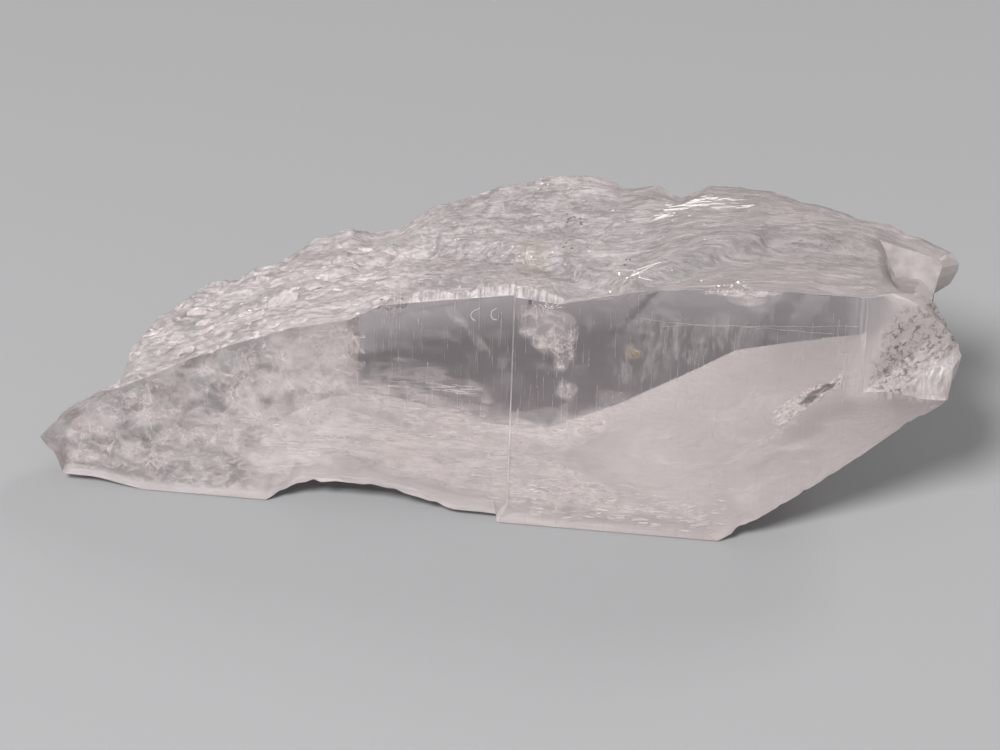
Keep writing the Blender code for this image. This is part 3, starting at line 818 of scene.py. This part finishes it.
SEAM_HAZE = [
    (-20.0, 10.4), (-19.5, 15.8), (-16.5, 14.6), (-12.0, 13.0), (-6.4, 11.7), (-1.0, 10.7), (5.6, 10.6),
    (9.0, 11.7), (12.4, 12.2), (11.0, 8.8), (5.8, 5.4), (-1.0, 5.4), (-6.8, 6.2), (-12.4, 7.4),
    (-16.8, 9.0),
]  # fmt: skip
STREAK_HAZE = [(-15.6, 11.6), (-15.4, 17.0), (-9.0, 17.6), (-1.0, 15.0), (-1.0, 11.0), (-9.0, 11.2)]
COLUMN_HAZE = [
    (10.0, 14.8), (11.0, 23.4), (18.0, 24.2), (27.0, 24.0), (28.0, 20.6), (20.0, 17.6), (14.0, 14.6),
]  # fmt: skip
DIAGONAL_HAZE = [(-8.2, 23.4), (-6.4, 23.6), (-3.2, 21.2), (0.0, 18.0), (0.0, 15.8), (-4.8, 20.0)]
EDGE_HAZE = [
    (19.4, 27.2), (21.3, 27.9), (23.3, 28.1), (27.0, 28.1), (28.4, 27.5), (26.6, 26.1), (24.0, 25.9),
    (21.4, 26.7),
]  # fmt: skip
EDGE_BAND = [
    (19.8, 27.5), (20.4, 27.95), (24.0, 28.25), (28.4, 28.25), (29.0, 28.0), (26.0, 27.4), (23.0, 27.1),
    (21.0, 27.4),
]  # fmt: skip
CRACK_HAZE = [
    (0.5, 19.6), (0.5, 24.9), (3.0, 24.7), (5.4, 24.6), (7.0, 23.8), (7.2, 22.4), (5.4, 21.2),
    (3.2, 20.7),
]  # fmt: skip
CLOUD_HAZE = [
    (1.7, 19.5), (2.1, 21.2), (3.6, 21.6), (4.5, 22.5), (5.8, 21.8), (7.2, 21.9), (7.6, 20.5),
    (7.0, 19.5), (7.7, 18.2), (6.6, 17.5), (6.0, 16.1), (4.6, 16.3), (4.3, 17.8), (2.8, 18.2),
]  # fmt: skip
LOW_CLOUD = [(5.0, 11.4), (4.5, 13.8), (5.2, 15.8), (6.8, 16.2), (7.8, 14.6), (7.4, 12.6), (6.6, 11.2)]
FEATHER_HAZE = [
    (27.8, 12.9), (29.4, 15.8), (32.1, 17.9), (35.6, 20.0), (35.3, 17.8), (32.6, 15.5), (29.9, 13.2),
]  # fmt: skip
STAIN = [(11.8, 19.6), (12.2, 20.7), (13.1, 21.0), (14.2, 20.4), (14.1, 19.2), (13.2, 18.6), (12.2, 18.8)]
WEB_THICKNESS = 0.05

# Each finish with the sizes of its lumps, how thin and how thick it is, and its colour if it isn't white.
HAZES = {
    "milky_haze": ((2.5, 2.5, 2.5), 0.0, 0.26),
    "streaky_haze": ((5.0, 3.0, 1.0), 0.0, 0.30),
    "foot_milk": ((6.0, 3.0, 1.4), 0.2, 0.5),
    "upright_haze": ((0.9, 3.0, 3.0), 0.0, 0.2),
    "cloud_haze": ((1.1, 1.1, 1.1), 0.12, 0.8),
    "soft_haze": ((1.3, 1.3, 2.4), 0.0, 0.5),
    "faint_haze": ((2.0, 2.0, 2.0), 0.08, 0.26),
    "seam_haze": ((6.0, 3.0, 1.0), 0.15, 0.66),
    "edge_haze": ((1.6, 1.6, 0.7), 0.3, 0.85),
    "edge_milk": ((0.8, 0.8, 0.4), 0.35, 1.0),
    "crack_haze": ((1.8, 1.8, 1.0), 0.1, 0.42),
    "ochre_haze": ((1.2, 1.2, 1.2), 0.1, 0.6, (0.62, 0.50, 0.27)),
}
# Each fracture or hazy place with its depth, its outline, the width of its fading rim and its finish.
WEBS = [
    ("web_front", 1.2, LEFT_BODY, 0.5, "milky_web"),
    ("web_middle", 2.6, INNER_BODY, 1.2, "milky_web"),
    ("body_haze", 0.8, BODY_HAZE, 2.0, "milky_haze"),
    ("low_haze", 8.0, LOW_HAZE, 3.0, "milky_haze"),
    ("foot_haze", 0.7, FOOT_HAZE, 2.2, "foot_milk"),
    ("seam_haze", 5.0, SEAM_HAZE, 2.4, "seam_haze"),
    ("streak_haze", 1.6, STREAK_HAZE, 2.0, "streaky_haze"),
    ("column_haze", 3.0, COLUMN_HAZE, 3.0, "upright_haze"),
    ("diagonal_haze", 1.2, DIAGONAL_HAZE, 1.0, "faint_haze"),
    ("edge_haze", 0.9, EDGE_HAZE, 1.2, "edge_haze"),
    ("edge_band", 0.3, EDGE_BAND, 0.45, "edge_milk"),
    ("crack_haze", 1.0, CRACK_HAZE, 1.5, "crack_haze"),
    ("cloud_haze", 2.4, CLOUD_HAZE, 1.8, "cloud_haze"),
    ("low_cloud", 2.8, LOW_CLOUD, 1.2, "soft_haze"),
    ("feather_haze", 1.5, FEATHER_HAZE, 0.8, "cloud_haze"),
    ("deep_stain", 1.2, STAIN, 0.9, "ochre_haze"),
]


def web(name, depth, outline, rim, material):
    """A closed, thin and slightly wavy fracture between two sheets, fading out over its rim."""
    bm = bmesh.new()
    cover = bm.verts.layers.float.new("cover")
    closed(bm, [bm.verts.new((x, z, 0.0)) for x, z in outline], 0)
    for _ in range(4):
        bmesh.ops.subdivide_edges(bm, edges=bm.edges, cuts=1, use_grid_fill=True)
    edge = [v.co.to_2d() for v in bm.verts if v.is_boundary]
    for v in bm.verts:
        inset = min((v.co.to_2d() - point).length for point in edge)
        uneven = 0.9 * rim * grain(v.co.x, v.co.y, 0.8 + 0.5 * rim, 95)
        v[cover] = ramp(0.0, 0.4 * rim, inset) * ramp(0.0, rim, inset + uneven)
    bmesh.ops.solidify(bm, geom=bm.faces, thickness=WEB_THICKNESS)
    for v in bm.verts:
        x, z, y = v.co
        v.co = placed(x, depth + y + 0.25 * grain(x, z, 4.0, 90 + depth), z)
    bmesh.ops.recalc_face_normals(bm, faces=bm.faces)
    if bm.calc_volume(signed=True) < 0.0:
        bmesh.ops.reverse_faces(bm, faces=bm.faces)
    mesh = meshed(bm, name)
    mesh.materials.append(material)
    added(name, mesh)


def webs():
    """The fractures and hazy places between the sheets."""
    finishes = {name: milky_haze(name, *look) for name, look in HAZES.items()}
    finishes["milky_web"] = milky_web()
    for name, depth, outline, rim, finish in WEBS:
        web(name, depth, outline, rim, finishes[finish])


# ---------------------------------------------------------------- what is strewn over the sheets
STREWN_SIZES = ("Per Square Metre", "Seed", "Turn", "Scatter", "Depth", "Size", "Clump")
SOCKET_KINDS = {"Guide": "Geometry", "Seed": "Int", "Finish": "Material"}  # any other input is a number
LENGTHS = ("Depth", "Size", "Width", "Bend")
CLUMP_SCALE, BEND_SCALE, CHIP_SCALE = 450.0, 350.0, 1500.0  # lumps in a metre


def shape_tree(name, *sizes):
    """A tree of nodes for a shape, with a named input for the guide, for each size and for the finish."""
    tree = bpy.data.node_groups.new(name, "GeometryNodeTree")
    for label in ("Guide", *sizes, "Finish"):
        kind = "NodeSocket" + SOCKET_KINDS.get(label, "Float")
        tree.interface.new_socket(label, in_out="INPUT", socket_type=kind)
    tree.interface.new_socket("Shape", in_out="OUTPUT", socket_type="NodeSocketGeometry")
    return tree, make(tree, "NodeGroupInput")


def finish_tree(tree, given, shape):
    real = make(tree, "GeometryNodeRealizeInstances", {"Geometry": shape})
    done = make(tree, "GeometryNodeSetMaterial", {"Geometry": real, "Material": given["Finish"]})
    make(tree, "NodeGroupOutput", {"Shape": done})
    return tree


def chance(tree, low, high, seed):
    return make(tree, "FunctionNodeRandomValue", {2: low, 3: high, 8: seed}, data_type="FLOAT")[1]


def strewn(tree, given):
    """Points strewn over the guide and up to a depth behind it, and the turn that lays a shape along it."""
    clumps = make(tree, "ShaderNodeTexNoise", {"Scale": CLUMP_SCALE, "Detail": 3.0})
    density = clumps.spread(0.42, 0.62, 1.0 - given["Clump"], 1.0) * given["Per Square Metre"]
    inputs = {"Mesh": given["Guide"], "Density": density, "Seed": given["Seed"]}
    points = make(tree, "GeometryNodeDistributePointsOnFaces", inputs)
    normal = points["Normal"]
    spin = given["Turn"] + chance(tree, -1.0, 1.0, 3) * given["Scatter"]
    turned = {"Vector": vector(tree, "CROSS_PRODUCT", a=(0, 1, 0), b=normal), "Axis": normal, "Angle": spin}
    heading = make(tree, "ShaderNodeVectorRotate", turned, rotation_type="AXIS_ANGLE")
    ahead = make(tree, "FunctionNodeAlignRotationToVector", {"Vector": heading}, axis="X")
    laid = {"Rotation": ahead, "Vector": normal}
    laid = make(tree, "FunctionNodeAlignRotationToVector", laid, axis="Z", pivot_axis="X")
    back = make(tree, "ShaderNodeCombineXYZ", {"Y": chance(tree, 0.0, 1.0, 5) * given["Depth"]})
    return make(tree, "GeometryNodeSetPosition", {"Geometry": points, "Offset": back}), laid


def planted(tree, points, shape, rotation, scale):
    """The shape set on every point, as real geometry."""
    inputs = {"Points": points, "Instance": shape, "Rotation": rotation, "Scale": scale}
    shapes = make(tree, "GeometryNodeInstanceOnPoints", inputs)
    return make(tree, "GeometryNodeRealizeInstances", {"Geometry": shapes})


def ragged(tree, shape, amount, scale):
    """The shape with its points moved a little by noise."""
    colour = make(tree, "ShaderNodeTexNoise", {"Scale": scale, "Detail": 2.0})["Color"]
    centred = vector(tree, "SUBTRACT", a=colour, b=(0.5, 0.5, 0.5))
    offset = vector(tree, "SCALE", a=centred, scale=amount)
    return make(tree, "GeometryNodeSetPosition", {"Geometry": shape, "Offset": offset})


def threaded(tree, given, curves, count):
    """The tree that ends in thin closed threads along curves, each bent a little."""
    fine = make(tree, "GeometryNodeResampleCurve", {"Curve": curves, "Count": count})
    circle = {"Resolution": 3, "Radius": given["Width"] * 0.5}
    inputs = {
        "Curve": ragged(tree, fine, given["Bend"], BEND_SCALE), "Fill Caps": True,
        "Profile Curve": make(tree, "GeometryNodeCurvePrimitiveCircle", circle),
    }  # fmt: skip
    return finish_tree(tree, given, make(tree, "GeometryNodeCurveToMesh", inputs))


def flake_tree():
    """Thin broken flakes that lie along a surface, each tilted a little."""
    tree, given = shape_tree("flakes", *STREWN_SIZES, "Long", "Tilt")
    points, laid = strewn(tree, given)
    chip = {"Vertices": 7, "Radius Top": 0.36, "Radius Bottom": 0.5, "Depth": 0.16}
    flake = make(tree, "GeometryNodeMeshCone", chip, fill_type="NGON")
    tilts = {axis: chance(tree, -1.0, 1.0, seed) * given["Tilt"] for axis, seed in (("X", 11), ("Y", 12))}
    turn = {"Rotation": laid, "Rotate By": make(tree, "ShaderNodeCombineXYZ", tilts)}
    rotation = make(tree, "FunctionNodeRotateRotation", turn, rotation_space="LOCAL")
    size = chance(tree, 0.35, 1.0, 21) * given["Size"]
    scale = make(tree, "ShaderNodeCombineXYZ", {"X": size * given["Long"], "Y": size, "Z": size})
    chips = planted(tree, points, flake, rotation, scale)
    return finish_tree(tree, given, ragged(tree, chips, given["Size"] * 0.5, CHIP_SCALE))


def fibre_tree():
    """Fine threads that lie in a surface, each bent a little."""
    tree, given = shape_tree("fibres", *STREWN_SIZES, "Width", "Bend")
    points, laid = strewn(tree, given)
    line = make(tree, "GeometryNodeCurvePrimitiveLine", {"Start": (-0.5, 0, 0), "End": (0.5, 0, 0)})
    size = chance(tree, 0.25, 1.0, 21) * given["Size"]
    return threaded(tree, given, planted(tree, points, line, laid, size), 6)


def scratch_tree():
    """Single threads along the edges of the guide."""
    tree, given = shape_tree("scratches", "Width", "Bend")
    return threaded(tree, given, make(tree, "GeometryNodeMeshToCurve", {"Mesh": given["Guide"]}), 24)


FLAKES, FIBRES, SCRATCH = flake_tree(), fibre_tree(), scratch_tree()


def grown(name, guide, tree, finish, **sizes):
    """A piece made on a guide by a tree of nodes, as a plain mesh. Lengths are in millimetres."""
    maker = bpy.data.objects.new(name, guide)
    bpy.context.scene.collection.objects.link(maker)
    modifier = maker.modifiers.new("grow", "NODES")
    modifier.node_group = tree
    given = {key.replace("_", " ").title(): value for key, value in sizes.items()}
    given = {**given, **{key: given[key] * MM for key in LENGTHS if key in given}, "Finish": finish}
    for socket in tree.interface.items_tree:
        if socket.in_out == "INPUT" and socket.name in given:
            modifier[socket.identifier] = given[socket.name]
    mesh = bpy.data.meshes.new_from_object(maker.evaluated_get(bpy.context.evaluated_depsgraph_get()))
    mesh.name = name
    maker.modifiers.clear()
    bpy.data.objects.remove(maker)
    added(name, mesh)


def crowd(name, guide, tree, finish, per_mm2, seed, size, turn, scatter, depth=0.0, clump=0.0, **more):
    """A piece of many flakes or fibres, strewn over a guide and up to a depth behind it."""
    spacing = {"per_square_metre": per_mm2 * 1e6, "seed": seed, "depth": depth, "clump": clump}
    grown(name, guide, tree, finish, size=size, turn=turn, scatter=scatter, **spacing, **more)


def patch(mesh, inside):
    """A guide: the faces of the crystal's top whose middle passes a test on its x and depth."""
    bm = bmesh.new()
    bm.from_mesh(mesh)
    spare = []
    for f in bm.faces:
        x, y, z = f.calc_center_median() / MM - CENTRE
        if f.material_index != TOP or not inside(x, y - z * LEAN):
            spare.append(f)
    bmesh.ops.delete(bm, geom=spare, context="FACES")
    return meshed(bm, "guide")


def around(spots, wide=1.0, deep=1.0):
    """A test for being in one of a few round spots, drawn out along the blade or through it."""
    return lambda x, depth: any(math.hypot((x - a) / wide, (depth - b) / deep) < far for a, b, far in spots)


def sheet(depth, *outlines):
    """Flat guides parallel to the front at a depth, facing forwards."""
    bm = bmesh.new()
    for outline in outlines:
        made = bm.faces.new([bm.verts.new(placed(x, depth, z)) for x, z in outline])
        made.normal_update()
        if made.normal.y > 0:
            made.normal_flip()
    bmesh.ops.triangulate(bm, faces=bm.faces)
    return meshed(bm, "guide")


def lines(depth, *paths):
    """Guides for scratches: chains of edges parallel to the front at a depth."""
    bm = bmesh.new()
    for path in paths:
        chain = [bm.verts.new(placed(x, depth, z)) for x, z in path]
        for pair in zip(chain, chain[1:]):
            bm.edges.new(pair)
    return meshed(bm, "guide")


def box_outline(x0, z0, x1, z1):
    return [(x0, z0), (x1, z0), (x1, z1), (x0, z1)]


GLINTS = [
    (1.2, 17.6, 0.7), (12.6, 4.4, 0.8), (11.0, 5.6, 0.5), (-6.4, 4.8, 0.6), (8.6, 12.2, 0.6),
    (23.6, 1.0, 0.9),
]  # fmt: skip
PITS = [(4.4, 13.7, 0.7), (5.6, 9.8, 0.8), (10.6, 6.8, 0.7), (-13.0, 2.6, 0.5)]
UPRIGHT = math.radians(90.0)


# Each finish of broken bits with its colour, how clear it is, and how dark its grey is beside the colour.
BITS = {
    "flake_white": ((1.0, 0.945, 0.935), 0.0, 0.9),
    "scale_pale": ((0.86, 0.78, 0.77), 0.6, 0.78),
    "hair_dark": ((0.30, 0.265, 0.26), 0.0, 0.78),
    "flake_bright": ((0.52, 0.475, 0.47), 0.0, 0.85),
    "scale_disc": (PALE_GREY, 0.35, 0.8),
    # Dark grey flakes for the feather's lens: a painted dark reflection in its fracture.
    "painted_dark_reflection": ((0.42, 0.385, 0.38), 0.3, 0.7),
    # White for the ridge's streaks, and for the sparkles, where it is a painted highlight.
    "white_streak_and_glint": ((0.72, 0.67, 0.66), 0.0, 0.9),
    "pit_shade": ((0.15, 0.135, 0.13), 0.0, 0.78),
}


def scales_on_top(mesh, bits):
    """The scales of the left shoulder."""
    left = patch(mesh, lambda x, depth: -43.5 < x < -14.0 and depth < 0.62 * along(REAR_STEPS, x))
    pale, bright = bits["scale_pale"], bits["flake_bright"]
    crowd("shoulder_scales", left, FLAKES, pale, 0.22, 4, 0.9, 0.12, 0.2, clump=0.9, long=3.2, tilt=0.08)
    crowd("bright_scales", left, FLAKES, bright, 0.5, 5, 0.3, 0.12, 0.25, clump=1.0, long=2.4, tilt=0.16)
    big = patch(mesh, lambda x, depth: -28.5 < x < -19.0 and abs(depth - 5.2 - 0.4 * (x + 26)) < 1.4)
    crowd("round_scales", big, FLAKES, bits["scale_disc"], 0.3, 9, 2.0, 0.1, 0.4, long=1.7, tilt=0.06)
    rim = patch(mesh, lambda x, depth: -43.5 < x < -14.0 and depth < 0.9)
    crowd("edge_scales", rim, FLAKES, bright, 1.6, 6, 0.5, 0.1, 0.3, clump=0.9, long=2.4, tilt=0.3)


def glitter_on_top(mesh, bits):
    """Fibres, bright specks and dark pits among the broken ends of the sheets; the sparkles are painted
    glints.
    """
    pale, streak_and_glint = bits["scale_pale"], bits["white_streak_and_glint"]
    middle = patch(mesh, lambda x, depth: -20.0 < x < 38.0 and 1.5 < depth < 16.0)
    crowd("top_fibres", middle, FIBRES, pale, 1.2, 12, 2.4, 0.0, 0.3, clump=0.8, width=0.045, bend=0.3)
    broken = patch(mesh, lambda x, depth: -20.0 < x < 20.0 and 1.5 < depth < 16.0)
    # White flakes as painted highlights, where the top glints.
    crowd("sparkles", broken, FLAKES, streak_and_glint, 0.9, 17, 0.16, 0.1, 0.8, clump=0.95, long=2.4, tilt=0.5)
    ridge = patch(mesh, lambda x, d: 14.0 < x < 24.0 and 12.6 < d < 15.4 or 12.0 < x < 14.0 and 3.5 < d < 6.5)
    crowd("bright_fibres", ridge, FIBRES, streak_and_glint, 2.4, 14, 3.0, 0.0, 0.08, clump=0.8, width=0.13, bend=0.15)
    glints = patch(mesh, around(GLINTS, deep=1.5))
    crowd("glints", glints, FLAKES, air_fracture(), 6.0, 15, 0.26, 0.1, 0.8, long=2.0, tilt=0.5)
    pits = patch(mesh, around(PITS, wide=2.6))
    shade = bits["pit_shade"]
    crowd("dark_pits", pits, FLAKES, shade, 4.0, 16, 0.26, 0.1, 0.6, clump=1.0, long=2.2, tilt=0.4)


def fibres_inside(white):
    """Fibres behind the front: upright in the window, tangled in the left body, level above the foot."""
    pane = sheet(0.5, box_outline(-15.5, 12.0, 36.0, 24.5))
    crowd("window_fibres", pane, FIBRES, white, 0.6, 21, 3.6, UPRIGHT, 0.05, 3.0, 1.0, width=0.022, bend=0.15)
    body = sheet(0.6, INNER_BODY)
    crowd("body_fibres", body, FIBRES, white, 0.9, 22, 2.6, 0.0, 3.0, 2.4, 0.8, width=0.05, bend=1.2)
    low = sheet(0.4, box_outline(-26.0, 3.6, 24.0, 8.2), box_outline(2.0, 0.8, 24.0, 5.0))
    crowd("foot_fibres", low, FIBRES, white, 1.0, 23, 4.0, 0.03, 0.14, 1.5, 1.0, width=0.045, bend=0.3)
    middle = [(0.6, 0.6), (23.0, 0.55), (21.5, 3.4), (12.0, 5.4), (0.8, 4.2)]
    flecked = sheet(0.3, middle, [(18.6, 1.0), (23.6, 1.0), (24.6, 4.2), (22.2, 4.6)])
    crowd("foot_flecks", flecked, FLAKES, white, 9.0, 24, 0.2, 0.04, 0.14, 1.2, 0.95, long=6.0, tilt=0.4)


def clouds_inside(white):
    """White specks in the two clouds right of the crack and in a small one beside them."""
    upper = [(3.9, 17.9), (6.4, 16.9), (7.1, 19.4), (6.0, 21.4), (5.2, 20.2), (3.4, 20.6)]
    lower = [(5.6, 13.2), (6.8, 13.0), (6.9, 14.8), (5.9, 15.2)]
    clouds = sheet(1.4, upper, lower)
    crowd("white_cloud", clouds, FLAKES, white, 9.0, 31, 0.08, 0.4, 3.0, 1.2, 1.0, long=2.4, tilt=1.2)
    small = sheet(2.2, [(9.4, 12.6), (12.4, 12.8), (12.8, 14.6), (10.0, 14.8)])
    crowd("small_cloud", small, FLAKES, white, 8.0, 32, 0.12, 0.1, 3.0, 0.8, 1.0, long=1.4, tilt=1.2)


def feather(white, shade):
    """The slanting feather at the right, with a thin tail below and a lens of painted dark reflection in it.
    """
    plume = sheet(0.9, [(28.0, 13.2), (29.4, 13.4), (32.0, 15.4), (35.4, 18.8), (31.2, 16.6), (28.6, 14.9)])
    crowd("feather", plume, FLAKES, white, 12.0, 33, 0.2, 0.72, 0.15, 0.5, 0.8, long=5.0, tilt=0.5)
    lens = sheet(0.85, [(31.0, 15.9), (32.2, 16.3), (34.6, 18.4), (33.4, 18.1), (31.6, 16.9)])
    crowd("feather_lens", lens, FLAKES, shade, 12.0, 37, 0.34, 0.72, 0.15, 0.1, 0.4, long=3.6, tilt=0.3)
    tail = sheet(0.9, [(24.4, 9.5), (25.0, 9.3), (30.4, 12.9), (29.6, 13.4)])
    crowd("feather_tail", tail, FIBRES, white, 6.0, 36, 3.0, 0.62, 0.12, 0.3, 0.4, width=0.06, bend=0.3)
    puff = sheet(0.9, [(28.2, 11.6), (29.9, 11.9), (30.2, 13.0), (28.8, 13.2)])
    crowd("feather_puff", puff, FLAKES, white, 9.0, 38, 0.16, 0.9, 1.0, 0.4, 0.4, long=2.6, tilt=0.8)


def streaks_and_burst(white):
    """Level streaks at the left, and white splinters along the top edge."""
    bars = ((-29.0, 8.4, -12.0, 9.5), (-12.5, 13.8, -4.0, 14.7), (-16.0, 8.7, -5.0, 9.3))
    streaks = sheet(0.6, *(box_outline(*bar) for bar in bars))
    crowd("streaks", streaks, FIBRES, white, 6.0, 34, 2.6, 0.0, 0.1, 0.8, 0.8, width=0.08, bend=0.2)
    right = [(20.6, 27.75), (23.2, 27.7), (26.9, 28.0), (26.7, 28.25), (23.0, 28.2), (20.8, 28.0)]
    left = [(2.2, 24.7), (3.2, 24.2), (5.4, 24.6), (5.0, 25.0)]
    burst = sheet(0.35, right, left)
    crowd("edge_burst", burst, FLAKES, white, 60.0, 35, 0.12, 0.1, 0.7, 0.6, 0.7, long=3.0, tilt=0.4)


def scratches(white, dark):
    """Long lines below the top edge, two small hooks left of the crack, and dark hairs lower down."""
    pale_lines = lines(
        0.12,
        [(13.7, 24.4), (17.0, 24.1), (20.0, 24.0), (28.0, 24.6), (36.5, 25.2)],
        [(16.0, 23.6), (20.0, 24.1), (24.0, 24.3), (34.0, 24.2)],
        [(3.0, 25.0), (3.4, 24.7), (3.5, 24.3), (3.2, 23.6)],
        [(-3.4, 24.0), (-4.0, 23.7), (-4.3, 23.2), (-4.2, 22.8), (-3.8, 22.6)],
        [(-1.6, 24.2), (-2.1, 23.9), (-2.2, 23.4), (-2.0, 23.0), (-1.5, 22.9)],
    )
    grown("scratches", pale_lines, SCRATCH, white, width=0.045, bend=0.6)
    hairs = lines(
        0.1,
        [(-12.6, 6.7), (-10.0, 7.4), (-8.0, 7.4), (-6.0, 6.7), (-2.8, 5.9)],
        [(-8.6, 7.2), (-7.4, 6.5), (-5.6, 4.8), (-3.0, 3.4)],
        [(-41.6, 5.9), (-41.3, 5.6), (-41.0, 5.5)],
    )
    grown("hair_lines", hairs, SCRATCH, dark, width=0.04, bend=0.9)


def strewn_pieces(mesh):
    """Flakes, fibres and scratches in and on the sheets."""
    bits = {name: loose_bits(name, *look) for name, look in BITS.items()}
    white = bits["flake_white"]
    scales_on_top(mesh, bits)
    glitter_on_top(mesh, bits)
    fibres_inside(white)
    clouds_inside(white)
    feather(white, bits["painted_dark_reflection"])
    streaks_and_burst(white)
    scratches(white, bits["hair_dark"])


# ---------------------------------------------------------------- studio
FLOOR_HALF, FLOOR_HEIGHT = 3.0, -0.15 * MM
LIT_POINT = Vector((0, 0, 0.015))  # what the lights face
CAMERA_PLACE = (0.031773, -0.241775, 0.199746)
CAMERA_BACK = Vector((0.10286, -0.78127, 0.61566)).normalized()  # away from what it looks at


def studio_floor():
    a, z = FLOOR_HALF, FLOOR_HEIGHT
    mesh = bpy.data.meshes.new("studio_floor")
    mesh.from_pydata([(-a, -a, z), (a, -a, z), (a, a, z), (-a, a, z)], [], [(0, 1, 2, 3)])
    material = bpy.data.materials.new("pale_floor")
    material.use_nodes = True
    shader = material.node_tree.nodes["Principled BSDF"]
    shader.inputs["Base Color"].default_value = (0.29, 0.29, 0.296, 1)
    shader.inputs["Roughness"].default_value = 0.6
    mesh.materials.append(material)
    floor = bpy.data.objects.new("studio_floor", mesh)
    bpy.context.scene.collection.objects.link(floor)


def soft_light(name, place, size, power):
    """A round area light that faces the blade."""
    light = bpy.data.lights.new(name, "AREA")
    light.shape = "DISK"
    light.size = size
    light.energy = power
    lamp = bpy.data.objects.new(name, light)
    lamp.location = place
    lamp.rotation_euler = (LIT_POINT - Vector(place)).to_track_quat("-Z", "Y").to_euler()
    bpy.context.scene.collection.objects.link(lamp)


def studio_lights():
    world = bpy.data.worlds.new("studio")
    world.use_nodes = True
    background = world.node_tree.nodes["Background"]
    background.inputs["Color"].default_value = (1.0, 0.98, 0.98, 1)
    background.inputs["Strength"].default_value = 0.42
    bpy.context.scene.world = world
    soft_light("key", (-0.20, -0.44, 0.64), 0.24, 8.6)
    soft_light("rim", (0.45, 0.55, 0.55), 0.3, 2.0)


def studio_camera():
    """A long lens, 38 degrees above the table and a little to the right of square on."""
    data = bpy.data.cameras.new("camera")
    data.lens = 100
    data.sensor_width = 36
    data.clip_start = 0.01
    camera = bpy.data.objects.new("camera", data)
    camera.location = CAMERA_PLACE
    camera.rotation_euler = (-CAMERA_BACK).to_track_quat("-Z", "Y").to_euler()
    bpy.context.scene.collection.objects.link(camera)
    bpy.context.scene.camera = camera


def picture_settings():
    """Enough bounces for light to pass through all the sheets and hazes."""
    scene = bpy.context.scene
    scene.view_settings.view_transform = "Standard"
    scene.cycles.use_denoising = True
    scene.cycles.max_bounces = 12
    scene.cycles.transmission_bounces = 10
    scene.cycles.transparent_max_bounces = 24
    scene.cycles.diffuse_bounces = 3
    scene.cycles.glossy_bounces = 4


blade = crystal()
webs()
strewn_pieces(blade)
studio_floor()
studio_lights()
studio_camera()
picture_settings()
